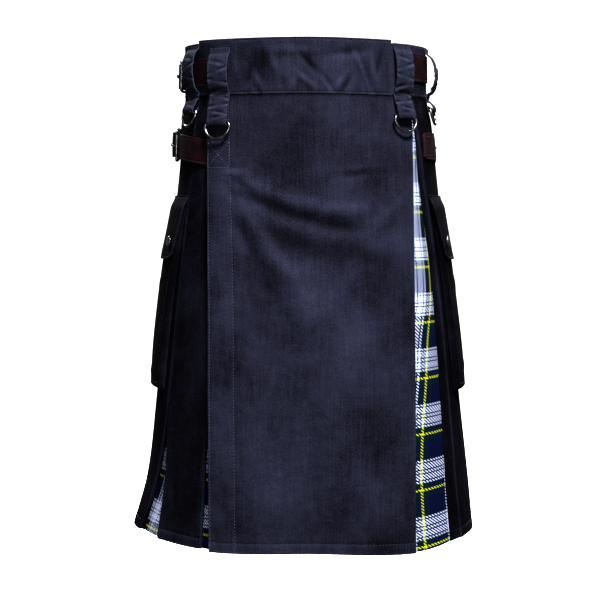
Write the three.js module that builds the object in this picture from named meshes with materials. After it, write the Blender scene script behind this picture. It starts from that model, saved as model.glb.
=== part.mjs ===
// A utility kilt, in the shape it has when worn: a plain front apron over an under apron, twill panels
// parted by tartan pleats, a deep waistband, six belt loops, four D-rings, four buckled straps and two
// cargo pockets. Millimetres, +Z up. The front faces -Y. The origin is on the vertical axis of the waist,
// level with the middle of the waistband, which is where the wearer's waist holds the kilt.
import * as THREE from "three";

// Driving dimensions
const BAND_TOP = 32; // height of the waistband's top edge above the origin
const BAND_DEPTH = 65; // depth of the waistband
const LENGTH = 604; // from the waistband's top edge to the hem at the front
const TWILL = 1.4; // wall of a twill panel
const TARTAN = 1.2; // wall of a tartan pleat
const BAND = 2.4; // wall of the waistband, two layers of twill
const LOOP = 1.6; // wall of a belt loop
const LEATHER = 2.6; // wall of a strap
const SEAM = 0.3; // gap between pieces that are sewn together
const PLEAT = 4.2; // depth from a panel's outer layer to the edge it folds under
const UNDER = 8; // depth of the under apron behind the front apron
const TUCK = 3.6; // depth of the waistband where the front apron's band lies over it
const LOOP_WIDTH = 27;
const WIRE = 1.7; // radius of a D-ring's wire

const MATERIALS = {
  twill: new THREE.MeshStandardMaterial({ color: 0x1b1c26, roughness: 0.88, metalness: 0 }),
  tartan: new THREE.MeshStandardMaterial({ color: 0x5a6a9c, roughness: 0.9, metalness: 0 }),
  leather: new THREE.MeshStandardMaterial({ color: 0x3a1f1e, roughness: 0.5, metalness: 0 }),
  metal: new THREE.MeshStandardMaterial({ color: 0xb9b7b4, roughness: 0.25, metalness: 1 }),
};

// Sections of the body that the kilt hangs on, one row for each drop below the waistband's top edge.
// front and back are the depths at the middle. Each corner is x, y, its lift on the right and its lift
// on the left: the edge of the apron, the shoulder of the hip, the side and the rear. slim is how much
// less the left side stands out than the right.
const SECTIONS = [
  {
    drop: 0, front: 108, back: 104, slim: 0,
    edge: [100, -79, 0, 0], shoulder: [134, -43, 1, 1], side: [147, 5, 2, 2], rear: [100, 78, 2, 2],
  },
  {
    drop: 65, front: 112, back: 110, slim: 2,
    edge: [103, -82, 0, 0], shoulder: [137, -43, 1, 1], side: [149, 6, 2, 2], rear: [104, 82, 2, 2],
  },
  {
    drop: 95, front: 114, back: 117, slim: 3,
    edge: [107, -86, 0, 0], shoulder: [143, -45, 1, 1], side: [155, 7, 1, 1], rear: [109, 89, 1, 1],
  },
  {
    drop: 150, front: 117, back: 128, slim: 7,
    edge: [113, -91, 0, 0], shoulder: [149, -46, 1, 1], side: [161, 10, 1, 1], rear: [114, 98, 1, 1],
  },
  {
    drop: 300, front: 124, back: 141, slim: 6,
    edge: [120, -105, 0, 0], shoulder: [163, -52, 1, 2], side: [177, 16, 2, 3], rear: [128, 110, 2, 2],
  },
  {
    drop: 450, front: 129, back: 153, slim: 9,
    edge: [122, -115, -1, 0], shoulder: [175, -58, 2, 5], side: [194, 20, 5, 8], rear: [144, 120, 5, 6],
  },
  {
    drop: 540, front: 131, back: 159, slim: 9,
    edge: [122, -119, -2, 0], shoulder: [181, -60, 3, 7], side: [205, 22, 8, 12], rear: [152, 127, 8, 9],
  },
  {
    drop: 604, front: 132, back: 164, slim: -2,
    edge: [123, -122, -4, 1], shoulder: [187, -62, 4, 9], side: [211, 24, 10, 15], rear: [159, 131, 10, 12],
  },
];
const SLIMMED = { edge: 0, shoulder: 0.6, side: 1, rear: 0.7 };

// Drops at which the panels' edges are given.
const DROPS = [65, 150, 300, 450, 530, 604];

// Panels. start and end are the edges, in millimetres around the body from the front's middle, at each of
// DROPS: right is positive, and a negative number is measured round by the left. A turned edge reaches
// that far under the panel, or out into the pleat where the number is negative. sink is how deep each
// edge lies behind the outer surface, and across is the number of facets.
const TURNED = [24, 24, 24, 24, 24, 24];
const PANELS = [
  {
    name: "apron", across: 17, plainStart: true, turnStart: 0, turnEnd: TURNED, sink: [0, 0],
    start: [-134, -130, -126, -125, -124.5, -124],
    end: [134, 130, 126, 125, 124.5, 124],
  },
  {
    name: "panel_pocket_right", across: 9, turnStart: [10, -4, -10, -16, -19, -22], turnEnd: TURNED,
    sink: [0, 0],
    start: [137.5, 150, 181, 197, 205, 213],
    end: [256, 300, 348, 374, 387, 400],
  },
  {
    name: "panel_back_right", across: 5, turnStart: TURNED, turnEnd: TURNED, sink: [0, 0],
    start: [259, 303, 351, 385, 403, 422],
    end: [358, 402, 452, 486, 502, 518],
  },
  {
    name: "panel_back_middle", across: 5, turnStart: TURNED, turnEnd: TURNED, sink: [0, 0],
    start: [361, 405, 455, 497, 518, 539],
    end: [-361, -405, -455, -497, -518, -539],
  },
  {
    name: "panel_back_left", across: 5, turnStart: TURNED, turnEnd: TURNED, sink: [0, 0],
    start: [-358, -402, -452, -486, -502, -518],
    end: [-259, -303, -351, -385, -403, -422],
  },
  {
    name: "panel_pocket_left", across: 9, turnStart: TURNED, turnEnd: [20, 22, 24, 16, 2, -8],
    sink: [0, 0],
    start: [-256, -300, -348, -374, -388, -404],
    end: [-151, -163, -184, -206, -229, -258],
  },
  {
    name: "panel_side_left", across: 5, turnStart: [12, 16, 24, 24, 24, 24],
    turnEnd: [10, 14, 20, 20, 20, 20], sink: [0, UNDER],
    start: [-148, -160, -180, -200, -204, -207],
    end: [-118, -118, -123, -133, -137, -140],
  },
  {
    name: "under_apron", across: 8, plainEnd: true, turnStart: [16, 18, 20, 20, 20, 20], turnEnd: 0,
    sink: [UNDER, UNDER],
    start: [-106, -106, -108, -112, -112, -112],
    end: [92, 96, 99, 100, 101, 101],
  },
];

// Tartan pleats, each between the end of one panel and the start of the next.
const PLEATS = [
  { name: "tartan_front_right", from: "apron", to: "panel_pocket_right" },
  { name: "tartan_rear_right", from: "panel_pocket_right", to: "panel_back_right" },
  { name: "tartan_back_right", from: "panel_back_right", to: "panel_back_middle" },
  { name: "tartan_back_left", from: "panel_back_middle", to: "panel_back_left" },
  { name: "tartan_rear_left", from: "panel_back_left", to: "panel_pocket_left" },
  { name: "tartan_side_left", from: "panel_pocket_left", to: "panel_side_left" },
  { name: "tartan_front_left", from: "panel_side_left", to: "under_apron" },
];

// The largest folds of the front apron: a soft ridge, or a trough where height is negative.
const FOLDS = [
  { girth: -52, drop: 205, slant: 28, length: 75, width: 20, height: 3.0 },
  { girth: -58, drop: 262, slant: 52, length: 90, width: 22, height: 3.2 },
  { girth: -10, drop: 250, slant: 18, length: 80, width: 18, height: -2.4 },
  { girth: 30, drop: 420, slant: 82, length: 150, width: 30, height: 2.6 },
  { girth: -70, drop: 470, slant: 86, length: 130, width: 26, height: 2.4 },
  { girth: 86, drop: 480, slant: 92, length: 140, width: 22, height: -1.8 },
];

// Belt loops. top is the drop of the loop's sewn top, bar the drop of the ring's bar, or 0 for a plain
// loop, and bulge how far the loop stands off the waistband.
const LOOPS = [
  { name: "loop_front_left", girth: -112.5, top: 9, bar: 99, bulge: 6.5 },
  { name: "loop_front_right", girth: 116, top: 2, bar: 90, bulge: 6.5 },
  { name: "loop_side_left", girth: -161, top: 2, bar: 83, bulge: 9 },
  { name: "loop_side_right", girth: 190, top: 3, bar: 78, bulge: 12 },
  { name: "loop_back_left", girth: -324, top: 4, bar: 0, bulge: 6.5 },
  { name: "loop_back_right", girth: 324, top: 4, bar: 0, bulge: 6.5 },
];

// Straps. side is -1 on the left and 1 on the right. root is where the strap is sewn, heel is where
// its buckle's heel bar lies, and drop and heelDrop are the heights of its middle at those places. wall
// is the cloth under it, and inside is set where the strap is sewn behind the apron's edge.
const STRAPS = [
  { name: "waist_left", side: -1, root: 104, heel: 226, drop: 37, heelDrop: 37, wall: BAND },
  { name: "waist_right", side: 1, root: 106, heel: 250, drop: 29, heelDrop: 29, wall: BAND },
  { name: "hip_left", side: -1, root: 106, heel: 234, drop: 136, heelDrop: 119, wall: TWILL, inside: true },
  { name: "hip_right", side: 1, root: 153, heel: 262, drop: 124, heelDrop: 122, wall: TWILL },
];
const STRAP_WIDTH = 30;
const BUCKLE_LENGTH = 26; // from the heel bar to the far bar, between their middles
const BUCKLE_WIDTH = 37;

const POCKET = { width: 146, mouth: 199, bottom: 424, flapTop: 184, flapBottom: 262, depth: 7.4 };

// How far the pocket's bag stands out down its height, as a share of its depth.
const BAG = [
  { drop: POCKET.mouth, share: 0.3 },
  { drop: 225, share: 0.5 },
  { drop: 265, share: 0.8 },
  { drop: 320, share: 1 },
  { drop: 375, share: 1.08 },
  { drop: POCKET.bottom, share: 0.9 },
];

// A row's value at any drop, along a smooth curve through the rows.
function along(rows, drop, read) {
  const last = rows.length - 1;
  const at = Math.min(Math.max(rows.findIndex((row) => row.drop >= drop), 1), last);
  const slope = (k) => {
    const a = Math.max(k - 1, 0);
    const b = Math.min(k + 1, last);
    return (read(rows[b]) - read(rows[a])) / (rows[b].drop - rows[a].drop);
  };
  const span = rows[at].drop - rows[at - 1].drop;
  const t = (drop - rows[at - 1].drop) / span;
  const t2 = t * t;
  const t3 = t2 * t;
  return (
    (2 * t3 - 3 * t2 + 1) * read(rows[at - 1]) +
    (t3 - 2 * t2 + t) * span * slope(at - 1) +
    (3 * t2 - 2 * t3) * read(rows[at]) +
    (t3 - t2) * span * slope(at)
  );
}

const sections = new Map();

// The closed curve around the body at a drop, from the front's middle round by the right.
function section(drop) {
  if (!sections.has(drop)) {
    const read = (key, axis) => along(SECTIONS, drop, (row) => row[key][axis]);
    const slim = along(SECTIONS, drop, (row) => row.slim);
    const height = BAND_TOP - drop;
    const right = (key) => new THREE.Vector3(read(key, 0), read(key, 1), height + read(key, 2));
    const left = (key) =>
      new THREE.Vector3(slim * SLIMMED[key] - read(key, 0), read(key, 1), height + read(key, 3));
    const middle = (key, sign, lift) =>
      new THREE.Vector3(0, sign * along(SECTIONS, drop, (row) => row[key]), height + lift);
    const corners = ["edge", "shoulder", "side", "rear"];
    const lift = (read("rear", 2) + read("rear", 3)) / 2;
    const curve = new THREE.CatmullRomCurve3(
      [
        middle("front", -1, (read("edge", 2) + read("edge", 3)) / 2),
        ...corners.map(right),
        middle("back", 1, lift),
        ...corners.toReversed().map(left),
      ],
      true,
      "centripetal",
    );
    curve.arcLengthDivisions = 400;
    sections.set(drop, { curve, girth: curve.getLength() });
  }
  return sections.get(drop);
}

// A girth measured round by the left is negative, and its share of the whole wraps.
function shareAt(girth, drop) {
  return ((girth / section(drop).girth) % 1 + 1) % 1;
}

// A point of the cloth: millimetres around the body, depth behind its outer surface, and drop.
function place(girth, depth, drop) {
  const { curve } = section(drop);
  const share = shareAt(girth, drop);
  const tangent = curve.getTangentAt(share).setZ(0).normalize();
  const inwards = new THREE.Vector3(-tangent.y, tangent.x, 0);
  return curve.getPointAt(share).addScaledVector(inwards, depth);
}

// The axes of the cloth at a place around the body: across it to the right, outwards and up.
function axesAt(girth, drop) {
  const reach = 6;
  const rise = place(girth, 0, drop - reach).sub(place(girth, 0, drop + reach));
  const across = section(drop).curve.getTangentAt(shareAt(girth, drop)).setZ(0).normalize();
  const out = new THREE.Vector3().crossVectors(across, rise).normalize();
  return { across, out, up: new THREE.Vector3().crossVectors(out, across) };
}

// A closed wall around a grid of points, half its thickness to each side.
function wall(grid, thickness) {
  const rows = grid.length;
  const columns = grid[0].length;
  const position = [];
  for (const side of [1, -1]) {
    for (let j = 0; j < rows; j += 1) {
      for (let i = 0; i < columns; i += 1) {
        const across = grid[j][Math.min(i + 1, columns - 1)].clone().sub(grid[j][Math.max(i - 1, 0)]);
        const down = grid[Math.min(j + 1, rows - 1)][i].clone().sub(grid[Math.max(j - 1, 0)][i]);
        const normal = across.cross(down).normalize();
        const point = grid[j][i].clone().addScaledVector(normal, (side * thickness) / 2);
        position.push(point.x, point.y, point.z);
      }
    }
  }
  const index = [];
  const quad = (a, b, c, d) => index.push(a, b, c, a, c, d);
  const vertex = (side, j, i) => side * rows * columns + j * columns + i;
  for (let j = 0; j + 1 < rows; j += 1) {
    for (let i = 0; i + 1 < columns; i += 1) {
      quad(vertex(0, j, i), vertex(0, j, i + 1), vertex(0, j + 1, i + 1), vertex(0, j + 1, i));
      quad(vertex(1, j, i), vertex(1, j + 1, i), vertex(1, j + 1, i + 1), vertex(1, j, i + 1));
    }
  }
  for (let i = 0; i + 1 < columns; i += 1) {
    const end = rows - 1;
    quad(vertex(0, 0, i), vertex(1, 0, i), vertex(1, 0, i + 1), vertex(0, 0, i + 1));
    quad(vertex(0, end, i + 1), vertex(1, end, i + 1), vertex(1, end, i), vertex(0, end, i));
  }
  for (let j = 0; j + 1 < rows; j += 1) {
    const end = columns - 1;
    quad(vertex(0, j + 1, 0), vertex(1, j + 1, 0), vertex(1, j, 0), vertex(0, j, 0));
    quad(vertex(0, j, end), vertex(1, j, end), vertex(1, j + 1, end), vertex(0, j + 1, end));
  }
  return new THREE.BufferGeometry()
    .setAttribute("position", new THREE.Float32BufferAttribute(position, 3))
    .setIndex(index);
}

const kilt = new THREE.Group();

function add(name, geometry, material) {
  const mesh = new THREE.Mesh(geometry, material);
  mesh.name = name;
  kilt.add(mesh);
  return mesh;
}

const mix = (a, b, t) => a + (b - a) * t;
const clamp = (x, low, high) => Math.min(Math.max(x, low), high);

// An edge's place at any drop, from its places at DROPS.
function edgeAt(values, drop) {
  if (typeof values === "number") return values;
  const rows = DROPS.map((at, k) => ({ drop: at, value: values[k] }));
  return along(rows, drop, (row) => row.value);
}

// How far the folds push the front apron out at a place.
function foldAt(girth, drop) {
  return FOLDS.reduce((sum, fold) => {
    const turn = THREE.MathUtils.degToRad(fold.slant);
    const x = girth - fold.girth;
    const y = drop - fold.drop;
    const run = (x * Math.cos(turn) + y * Math.sin(turn)) / fold.length;
    const off = (y * Math.cos(turn) - x * Math.sin(turn)) / fold.width;
    return sum + fold.height * Math.exp(-run * run - off * off);
  }, 0);
}

// Where a turned edge's columns lie, as shares of how far it is turned, from the inner end to the fold.
const TURN = [1, 0.55, 0.1];

// The edge that a panel turns under: its places and depths, from the inner end to the fold. side is 1
// at a panel's start and -1 at its end.
function turnedEdge(at, side, turn, sink) {
  const open = clamp(-turn / 15, 0, 1);
  const fold = [at - side * 0.4, sink + PLEAT * mix(0.5, 0.2, open)];
  return [
    ...TURN.map((share) => [at + side * turn * share, sink + PLEAT * mix(1, share ** 0.6, open)]),
    fold,
  ];
}

// Heights of the grid's rows down a panel, as drops.
const PANEL_ROWS = [BAND_DEPTH + SEAM / 2, 95, 150, 215, 285, 355, 425, 485, 535, 575, LENGTH];

// A panel's edges at a drop. An edge measured round by the left comes after one measured by the right.
function edgesAt(panel, drop) {
  const start = edgeAt(panel.start, drop);
  const end = edgeAt(panel.end, drop);
  return [start, end < start ? end + section(drop).girth : end];
}

function panelRow(panel, drop) {
  const [start, end] = edgesAt(panel, drop);
  const path = [];
  if (!panel.plainStart) path.push(...turnedEdge(start, 1, edgeAt(panel.turnStart, drop), panel.sink[0]));
  for (let k = 0; k <= panel.across; k += 1) {
    const share = k / panel.across;
    const girth = mix(start, end, share);
    const calm = Math.sin(Math.PI * share) ** 0.5;
    const push = panel.name === "apron" ? foldAt(girth, drop) * calm : 0;
    path.push([girth, mix(panel.sink[0], panel.sink[1], share) - push]);
  }
  if (!panel.plainEnd) {
    path.push(...turnedEdge(end, -1, edgeAt(panel.turnEnd, drop), panel.sink[1]).toReversed());
  }
  return path.map(([girth, depth]) => place(girth, depth, drop));
}

function panels() {
  for (const panel of PANELS) {
    const grid = PANEL_ROWS.map((drop) => panelRow(panel, drop));
    add(panel.name, wall(grid, TWILL), MATERIALS.twill);
  }
}

// A tartan pleat runs behind the turned edge of each panel and across the gap between them.
function pleatRow(from, to, drop) {
  const behind = (TWILL + TARTAN) / 2 + SEAM + 0.3;
  const [, leave] = edgesAt(from, drop);
  let [arrive] = edgesAt(to, drop);
  if (arrive < leave) arrive += section(drop).girth;
  const under = (at, side, turn, sink) =>
    TURN.map((share) => [at + side * (turn * share - 1), sink + PLEAT + behind]);
  const first = under(leave, -1, Math.max(edgeAt(from.turnEnd, drop), 3), from.sink[1]);
  const last = under(arrive, 1, Math.max(edgeAt(to.turnStart, drop), 3), to.sink[0]);
  const middle = [0.33, 0.67].map((share) => [
    mix(leave, arrive, share),
    mix(from.sink[1], to.sink[0], share) + PLEAT + behind,
  ]);
  return [...first, ...middle, ...last.toReversed()].map(([girth, depth]) => place(girth, depth, drop));
}

function pleats() {
  for (const pleat of PLEATS) {
    const from = PANELS.find((panel) => panel.name === pleat.from);
    const to = PANELS.find((panel) => panel.name === pleat.to);
    const grid = PANEL_ROWS.map((drop) => pleatRow(from, to, drop));
    add(pleat.name, wall(grid, TARTAN), MATERIALS.tartan);
  }
}

// Where the waistband's pieces end, round from the front's middle, and how far each lies under the next.
const SEAM_LEFT = -150;
const SEAM_RIGHT = 101;
const TUCKED = 46;

// A band around the body from one place to another, where a place by the left of a start by the right
// is reached round the back. depthAt gives its depth from the distance left to its end.
function bandWall(start, end, top, steps, depthAt) {
  const bottom = BAND_DEPTH - SEAM / 2;
  const grid = [top, mix(top, bottom, 0.5), bottom].map((drop) => {
    const last = end < start ? end + section(drop).girth : end;
    return Array.from({ length: steps + 1 }, (_, k) => {
      const girth = mix(start, last, k / steps);
      return place(girth, depthAt(last - girth), drop);
    });
  });
  return wall(grid, BAND);
}

function waistbands() {
  const step = 4; // the front apron's band stands this much above the rest
  const tuck = (left) => TUCK * (1 - THREE.MathUtils.smoothstep(left, TUCKED + 1, TUCKED + 18));
  add("waistband_front", bandWall(SEAM_LEFT, SEAM_RIGHT, -step / 2, 20, () => 0), MATERIALS.twill);
  add(
    "waistband_back",
    bandWall(SEAM_RIGHT + SEAM, SEAM_LEFT + TUCKED, step / 2, 46, tuck),
    MATERIALS.twill,
  );
  add(
    "waistband_under",
    bandWall(SEAM_LEFT + TUCKED + SEAM, 90, step / 2, 14, () => TUCK),
    MATERIALS.twill,
  );
}

// A belt loop: down from its sewn top, off the waistband, back to its seam, and round the ring's bar.
const SLACK = 0.9; // between a ring's bar and the loop round it
const BAR_DEPTH = -(TWILL / 2 + 2 * SEAM + LOOP + WIRE + SLACK);
const BAR_RADIUS = WIRE + SLACK + LOOP / 2; // from the bar's middle to the loop's

function loopPath(loop) {
  const sewn = -(BAND / 2 + SEAM + LOOP / 2);
  const free = loop.top + 6;
  const foot = BAND_DEPTH - 3;
  const path = [[loop.top, sewn], [free, sewn]];
  for (const share of [0.1, 0.3, 0.5, 0.7, 0.88]) {
    const lift = loop.bulge * Math.sin(Math.PI * share) ** 0.6;
    path.push([mix(free, foot, share), sewn - lift]);
  }
  path.push([foot, sewn - 0.2], [foot + 5, sewn - 0.4]);
  if (!loop.bar) return path;
  const front = BAR_DEPTH - BAR_RADIUS;
  path.push([mix(foot, loop.bar, 0.6), mix(sewn, front, 0.7)], [loop.bar - 3, front + 0.1]);
  for (const degrees of [0, 45, 90, 135, 180]) {
    const turn = THREE.MathUtils.degToRad(degrees);
    path.push([loop.bar + BAR_RADIUS * Math.sin(turn), BAR_DEPTH - BAR_RADIUS * Math.cos(turn)]);
  }
  return [...path, [loop.bar - 5, BAR_DEPTH + BAR_RADIUS]];
}

// The fold round the bar is laid out from the bar, and the rest of a loop from the cloth.
function loops() {
  for (const loop of LOOPS) {
    const { across, up, out } = axesAt(loop.girth, loop.bar || BAND_DEPTH);
    const bar = place(loop.girth, BAR_DEPTH, loop.bar);
    const points = loopPath(loop).map(([drop, depth]) =>
      loop.bar && drop > loop.bar - 6
        ? bar.clone().addScaledVector(up, loop.bar - drop).addScaledVector(out, BAR_DEPTH - depth)
        : place(loop.girth, depth, drop),
    );
    const grid = [-0.5, 0.5].map((share) =>
      points.map((point) => point.clone().addScaledVector(across, share * LOOP_WIDTH)),
    );
    add(loop.name, wall(grid, LOOP), MATERIALS.twill);
  }
}

// A D-ring hangs from its straight bar, which lies along x at z 0.
function dRingGeometry() {
  const half = LOOP_WIDTH / 2 + WIRE + 1.9;
  const height = 18.5;
  const bow = [12, 38, 64, 90, 116, 142, 168].map((degrees) => {
    const turn = THREE.MathUtils.degToRad(degrees);
    return [half * Math.cos(turn), -height * Math.sin(turn) ** 0.9];
  });
  const outline = [-0.86, -0.5, 0, 0.5, 0.86].map((share) => [half * share, 0]);
  const curve = new THREE.CatmullRomCurve3(
    [...outline, ...bow].map(([x, z]) => new THREE.Vector3(x, 0, z)),
    true,
    "centripetal",
  );
  return new THREE.TubeGeometry(curve, 26, WIRE, 6, true);
}

function dRings() {
  for (const loop of LOOPS.filter((each) => each.bar)) {
    const { across, up, out } = axesAt(loop.girth, loop.bar);
    const ring = add(loop.name.replace("loop", "ring"), dRingGeometry(), MATERIALS.metal);
    ring.position.copy(place(loop.girth, BAR_DEPTH, loop.bar));
    ring.quaternion.setFromRotationMatrix(new THREE.Matrix4().makeBasis(across, out.negate(), up));
  }
}

// A buckle's metal and the chape, the short leather that is folded round its heel bar.
const BUCKLE_WIRE = 1.6;
const CHAPE = 1.8; // wall of the chape
const HEEL_RADIUS = BUCKLE_WIRE + 0.6 + CHAPE / 2; // from the heel bar's middle to the chape's

// Depths of a fastened strap's layers over cloth of a given wall: the strap on the cloth, the chape's
// under layer, the heel bar, the chape's outer layer, the strap over it and the buckle's far bar.
function layers(strap) {
  const cloth = -strap.wall / 2 - SEAM - 0.15;
  const flat = cloth - LEATHER / 2;
  const under = cloth - CHAPE / 2 - 0.1;
  const heel = under - HEEL_RADIUS;
  const outer = heel - HEEL_RADIUS;
  const over = outer - (CHAPE + LEATHER) / 2 - SEAM - 0.4;
  const far = flat - LEATHER / 2 - SEAM - BUCKLE_WIRE - 0.4;
  return { flat, under, heel, outer, over, far };
}

function strapSlope(strap) {
  return (strap.heelDrop - strap.drop) / (strap.heel - strap.root);
}

// A place on a strap: distance from the front's middle, depth, and height above or below its middle.
function onStrap(strap, distance, depth, offset) {
  const slope = strapSlope(strap);
  const drop = strap.drop + slope * (distance - strap.root) + offset;
  return place(strap.side * (distance - slope * offset), depth, drop);
}

// The axes of a buckle, from the middle of its heel bar: to its far bar, outwards and up the bar.
function buckleAxes(strap) {
  const { heel } = layers(strap);
  const half = BUCKLE_WIDTH / 3;
  const rear = onStrap(strap, strap.heel, heel, 0);
  const rise = onStrap(strap, strap.heel, heel, -half).sub(onStrap(strap, strap.heel, heel, half));
  const forward = onStrap(strap, strap.heel - BUCKLE_LENGTH, heel, 0).sub(rear).normalize();
  const out = new THREE.Vector3().crossVectors(rise, forward).multiplyScalar(strap.side).normalize();
  const up = new THREE.Vector3().crossVectors(forward, out).multiplyScalar(strap.side);
  return { rear, forward, out, up };
}

// Splits a path of distances and depths so that no step is longer than the cloth's curve allows.
function refined(path) {
  const longest = 8;
  return path.flatMap((point, k) => {
    if (k === 0) return [point];
    const from = path[k - 1];
    const steps = Math.max(1, Math.ceil(Math.abs(point[0] - from[0]) / longest));
    return Array.from({ length: steps }, (_, j) =>
      point.map((value, axis) => (axis < 3 ? mix(from[axis], value, (j + 1) / steps) : value)),
    );
  });
}

// A ribbon along the girth from a path of distance, depth and share of the width. A point that is
// marked as on the bar is laid out from the straight heel bar, and the rest from the cloth.
function ribbon(strap, path, width, thickness) {
  const { heel } = layers(strap);
  const axes = buckleAxes(strap);
  const grid = [-0.5, 0, 0.5].map((share) =>
    refined(path).map(([distance, depth, narrow, onBar]) => {
      const offset = share * strap.side * width * narrow;
      if (!onBar) return onStrap(strap, distance, depth, offset);
      return axes.rear
        .clone()
        .addScaledVector(axes.forward, strap.heel - distance)
        .addScaledVector(axes.out, heel - depth)
        .addScaledVector(axes.up, -offset);
    }),
  );
  return wall(grid, thickness);
}

// The left hip strap is sewn behind the apron and comes out at its edge, over the sunk side panel.
function strapPath(strap) {
  const { flat, over } = layers(strap);
  const far = strap.heel - BUCKLE_LENGTH;
  const inside = TWILL / 2 + SEAM + LEATHER / 2 + 0.8;
  const path = strap.inside
    ? [[strap.root, inside, 1], [131, inside, 1], [157, flat - 0.7, 1]]
    : [[strap.root, flat, 0.86], [strap.root + 3, flat, 1]];
  return [
    ...path,
    [far + 4, flat, 1], [far + 9, mix(flat, over, 0.25), 1], [strap.heel - 9, over + 0.8, 1],
    [strap.heel - 3, over, 1], [strap.heel + 14, over, 1], [strap.heel + 34, over + 0.6, 1],
    [strap.heel + 46, over + 0.9, 0.9], [strap.heel + 52, over + 1, 0.45],
  ];
}

// The chape is folded round the heel bar and sewn down behind it.
function chapePath(strap) {
  const { flat, under, heel, outer } = layers(strap);
  const path = [[strap.heel + 11, under, 1, false], [strap.heel, under, 1, true]];
  for (const degrees of [45, 90, 135]) {
    const turn = THREE.MathUtils.degToRad(degrees);
    path.push([strap.heel - HEEL_RADIUS * Math.sin(turn), heel + HEEL_RADIUS * Math.cos(turn), 1, true]);
  }
  path.push([strap.heel, outer, 1, true], [strap.heel + 9, outer + 0.2, 1, false]);
  return [...path, [strap.heel + 21, flat + 0.4, 1, false], [strap.heel + 42, flat + 0.4, 1, false]];
}

// The buckle's frame is a rounded rectangle of wire. Its heel bar lies in the chape's fold and its far
// bar over the strap.
function buckleGeometry(strap) {
  const { heel, far } = layers(strap);
  const half = BUCKLE_WIDTH / 2;
  const rise = heel - far;
  const points = [
    [0, -half * 0.7, 0], [0, 0, 0], [0, half * 0.7, 0], [0.1, half, 0.02],
    [0.5, half * 1.04, 0.4], [0.9, half, 0.9], [1, half * 0.7, 1], [1, 0, 1], [1, -half * 0.7, 1],
    [0.9, -half, 0.9], [0.5, -half * 1.04, 0.4], [0.1, -half, 0.02],
  ];
  const curve = new THREE.CatmullRomCurve3(
    points.map(([run, up, out]) => new THREE.Vector3(run * BUCKLE_LENGTH, out * rise, up)),
    true,
    "centripetal",
  );
  return new THREE.TubeGeometry(curve, 22, BUCKLE_WIRE, 6, true);
}

function seat(mesh, strap) {
  const { rear, forward, out } = buckleAxes(strap);
  const across = new THREE.Vector3().crossVectors(forward, out);
  mesh.position.copy(rear);
  mesh.quaternion.setFromRotationMatrix(new THREE.Matrix4().makeBasis(forward, out, across));
}

function straps() {
  for (const strap of STRAPS) {
    add(`strap_${strap.name}`, ribbon(strap, strapPath(strap), STRAP_WIDTH, LEATHER), MATERIALS.leather);
    add(`chape_${strap.name}`, ribbon(strap, chapePath(strap), 24, CHAPE), MATERIALS.leather);
    seat(add(`buckle_${strap.name}`, buckleGeometry(strap), MATERIALS.metal), strap);
    keeper(strap);
    prong(strap);
  }
}

// The keeper is a leather band over the strap that holds its tip down on the chape.
function keeper(strap) {
  const middle = strap.heel + 26;
  const { flat, over } = layers(strap);
  const low = flat + LEATHER / 2 - 0.7;
  const high = over - LEATHER / 2 - SEAM - 0.4;
  const half = STRAP_WIDTH / 2 + 1.6;
  const ring = [
    [-half, low], [-half - 0.6, mix(low, high, 0.5)], [-half, high], [0, high - 0.6], [half, high],
    [half + 0.6, mix(low, high, 0.5)], [half, low],
  ];
  const grid = [-4.5, 4.5].map((offset) =>
    ring.map(([across, depth]) =>
      onStrap(strap, middle + offset, depth, -strap.side * across),
    ),
  );
  add(`keeper_${strap.name}`, wall(grid, 1), MATERIALS.leather);
}

// The prong lies over the strap, from above the heel bar to the far bar.
function prong(strap) {
  const { over, far } = layers(strap);
  const thick = 1.5;
  const high = over - LEATHER / 2 - SEAM - thick / 2 - 0.5;
  const low = far - BUCKLE_WIRE - SEAM - thick / 2 - 0.4;
  const path = [[-5, high], [4, high], [BUCKLE_LENGTH * 0.55, mix(high, low, 0.4)], [BUCKLE_LENGTH + 2.2, low]];
  const grid = [-1.4, 1.4].map((across) =>
    path.map(([run, depth]) => onStrap(strap, strap.heel - run, depth, -strap.side * across)),
  );
  add(`prong_${strap.name}`, wall(grid, thick), MATERIALS.metal);
}

// The middle of a pocket, around the body, at a drop.
function pocketMiddle(panel, drop) {
  const [start, end] = edgesAt(panel, drop);
  return (start + end) / 2;
}

const bagDepth = (drop) => POCKET.depth * along(BAG, clamp(drop, POCKET.mouth, POCKET.bottom), (row) => row.share);

// A cargo pocket: a bag that stands off its panel on a gusset, open at the top, under a flap that
// closes with two snaps.
function pocket(side, panel) {
  const base = -(TWILL + SEAM);
  const rims = [[0, 0], [1.4, 0.62], [4.5, 1]];
  const half = POCKET.width / 2;
  const columns = [
    ...rims.map(([inset, out]) => [inset - half, out]),
    ...[-51, -34, -17, 0, 17, 34, 51].map((offset) => [offset, 1 + 0.1 * Math.cos(offset / 45)]),
    ...rims.map(([inset, out]) => [half - inset, out]).toReversed(),
  ];
  const rows = [
    ...BAG.slice(0, -1).map((row) => [row.drop, 1]),
    ...rims.map(([inset, out]) => [POCKET.bottom - inset, out]).toReversed(),
  ];
  const bag = rows.map(([drop, tall]) =>
    columns.map(([offset, wide]) =>
      place(pocketMiddle(panel, drop) + offset, base - bagDepth(drop) * wide * tall, drop),
    ),
  );
  add(`pocket_${side}`, wall(bag, TWILL), MATERIALS.twill);
  flap(side, panel);
}

// A flap's depth at a drop: sewn to the panel at its top, then lying on the bag.
function flapDepth(drop) {
  const sewn = TWILL / 2 + SEAM + LOOP / 2 + 0.5;
  const onBag = TWILL + SEAM + bagDepth(drop) * 1.1 + TWILL / 2 + SEAM + LOOP / 2 + 0.3;
  const share = (drop - POCKET.flapTop) / (POCKET.flapBottom - POCKET.flapTop);
  return -mix(sewn, onBag, THREE.MathUtils.smoothstep(share, 0.02, 0.2)) - 1.2 * share ** 3;
}

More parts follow.
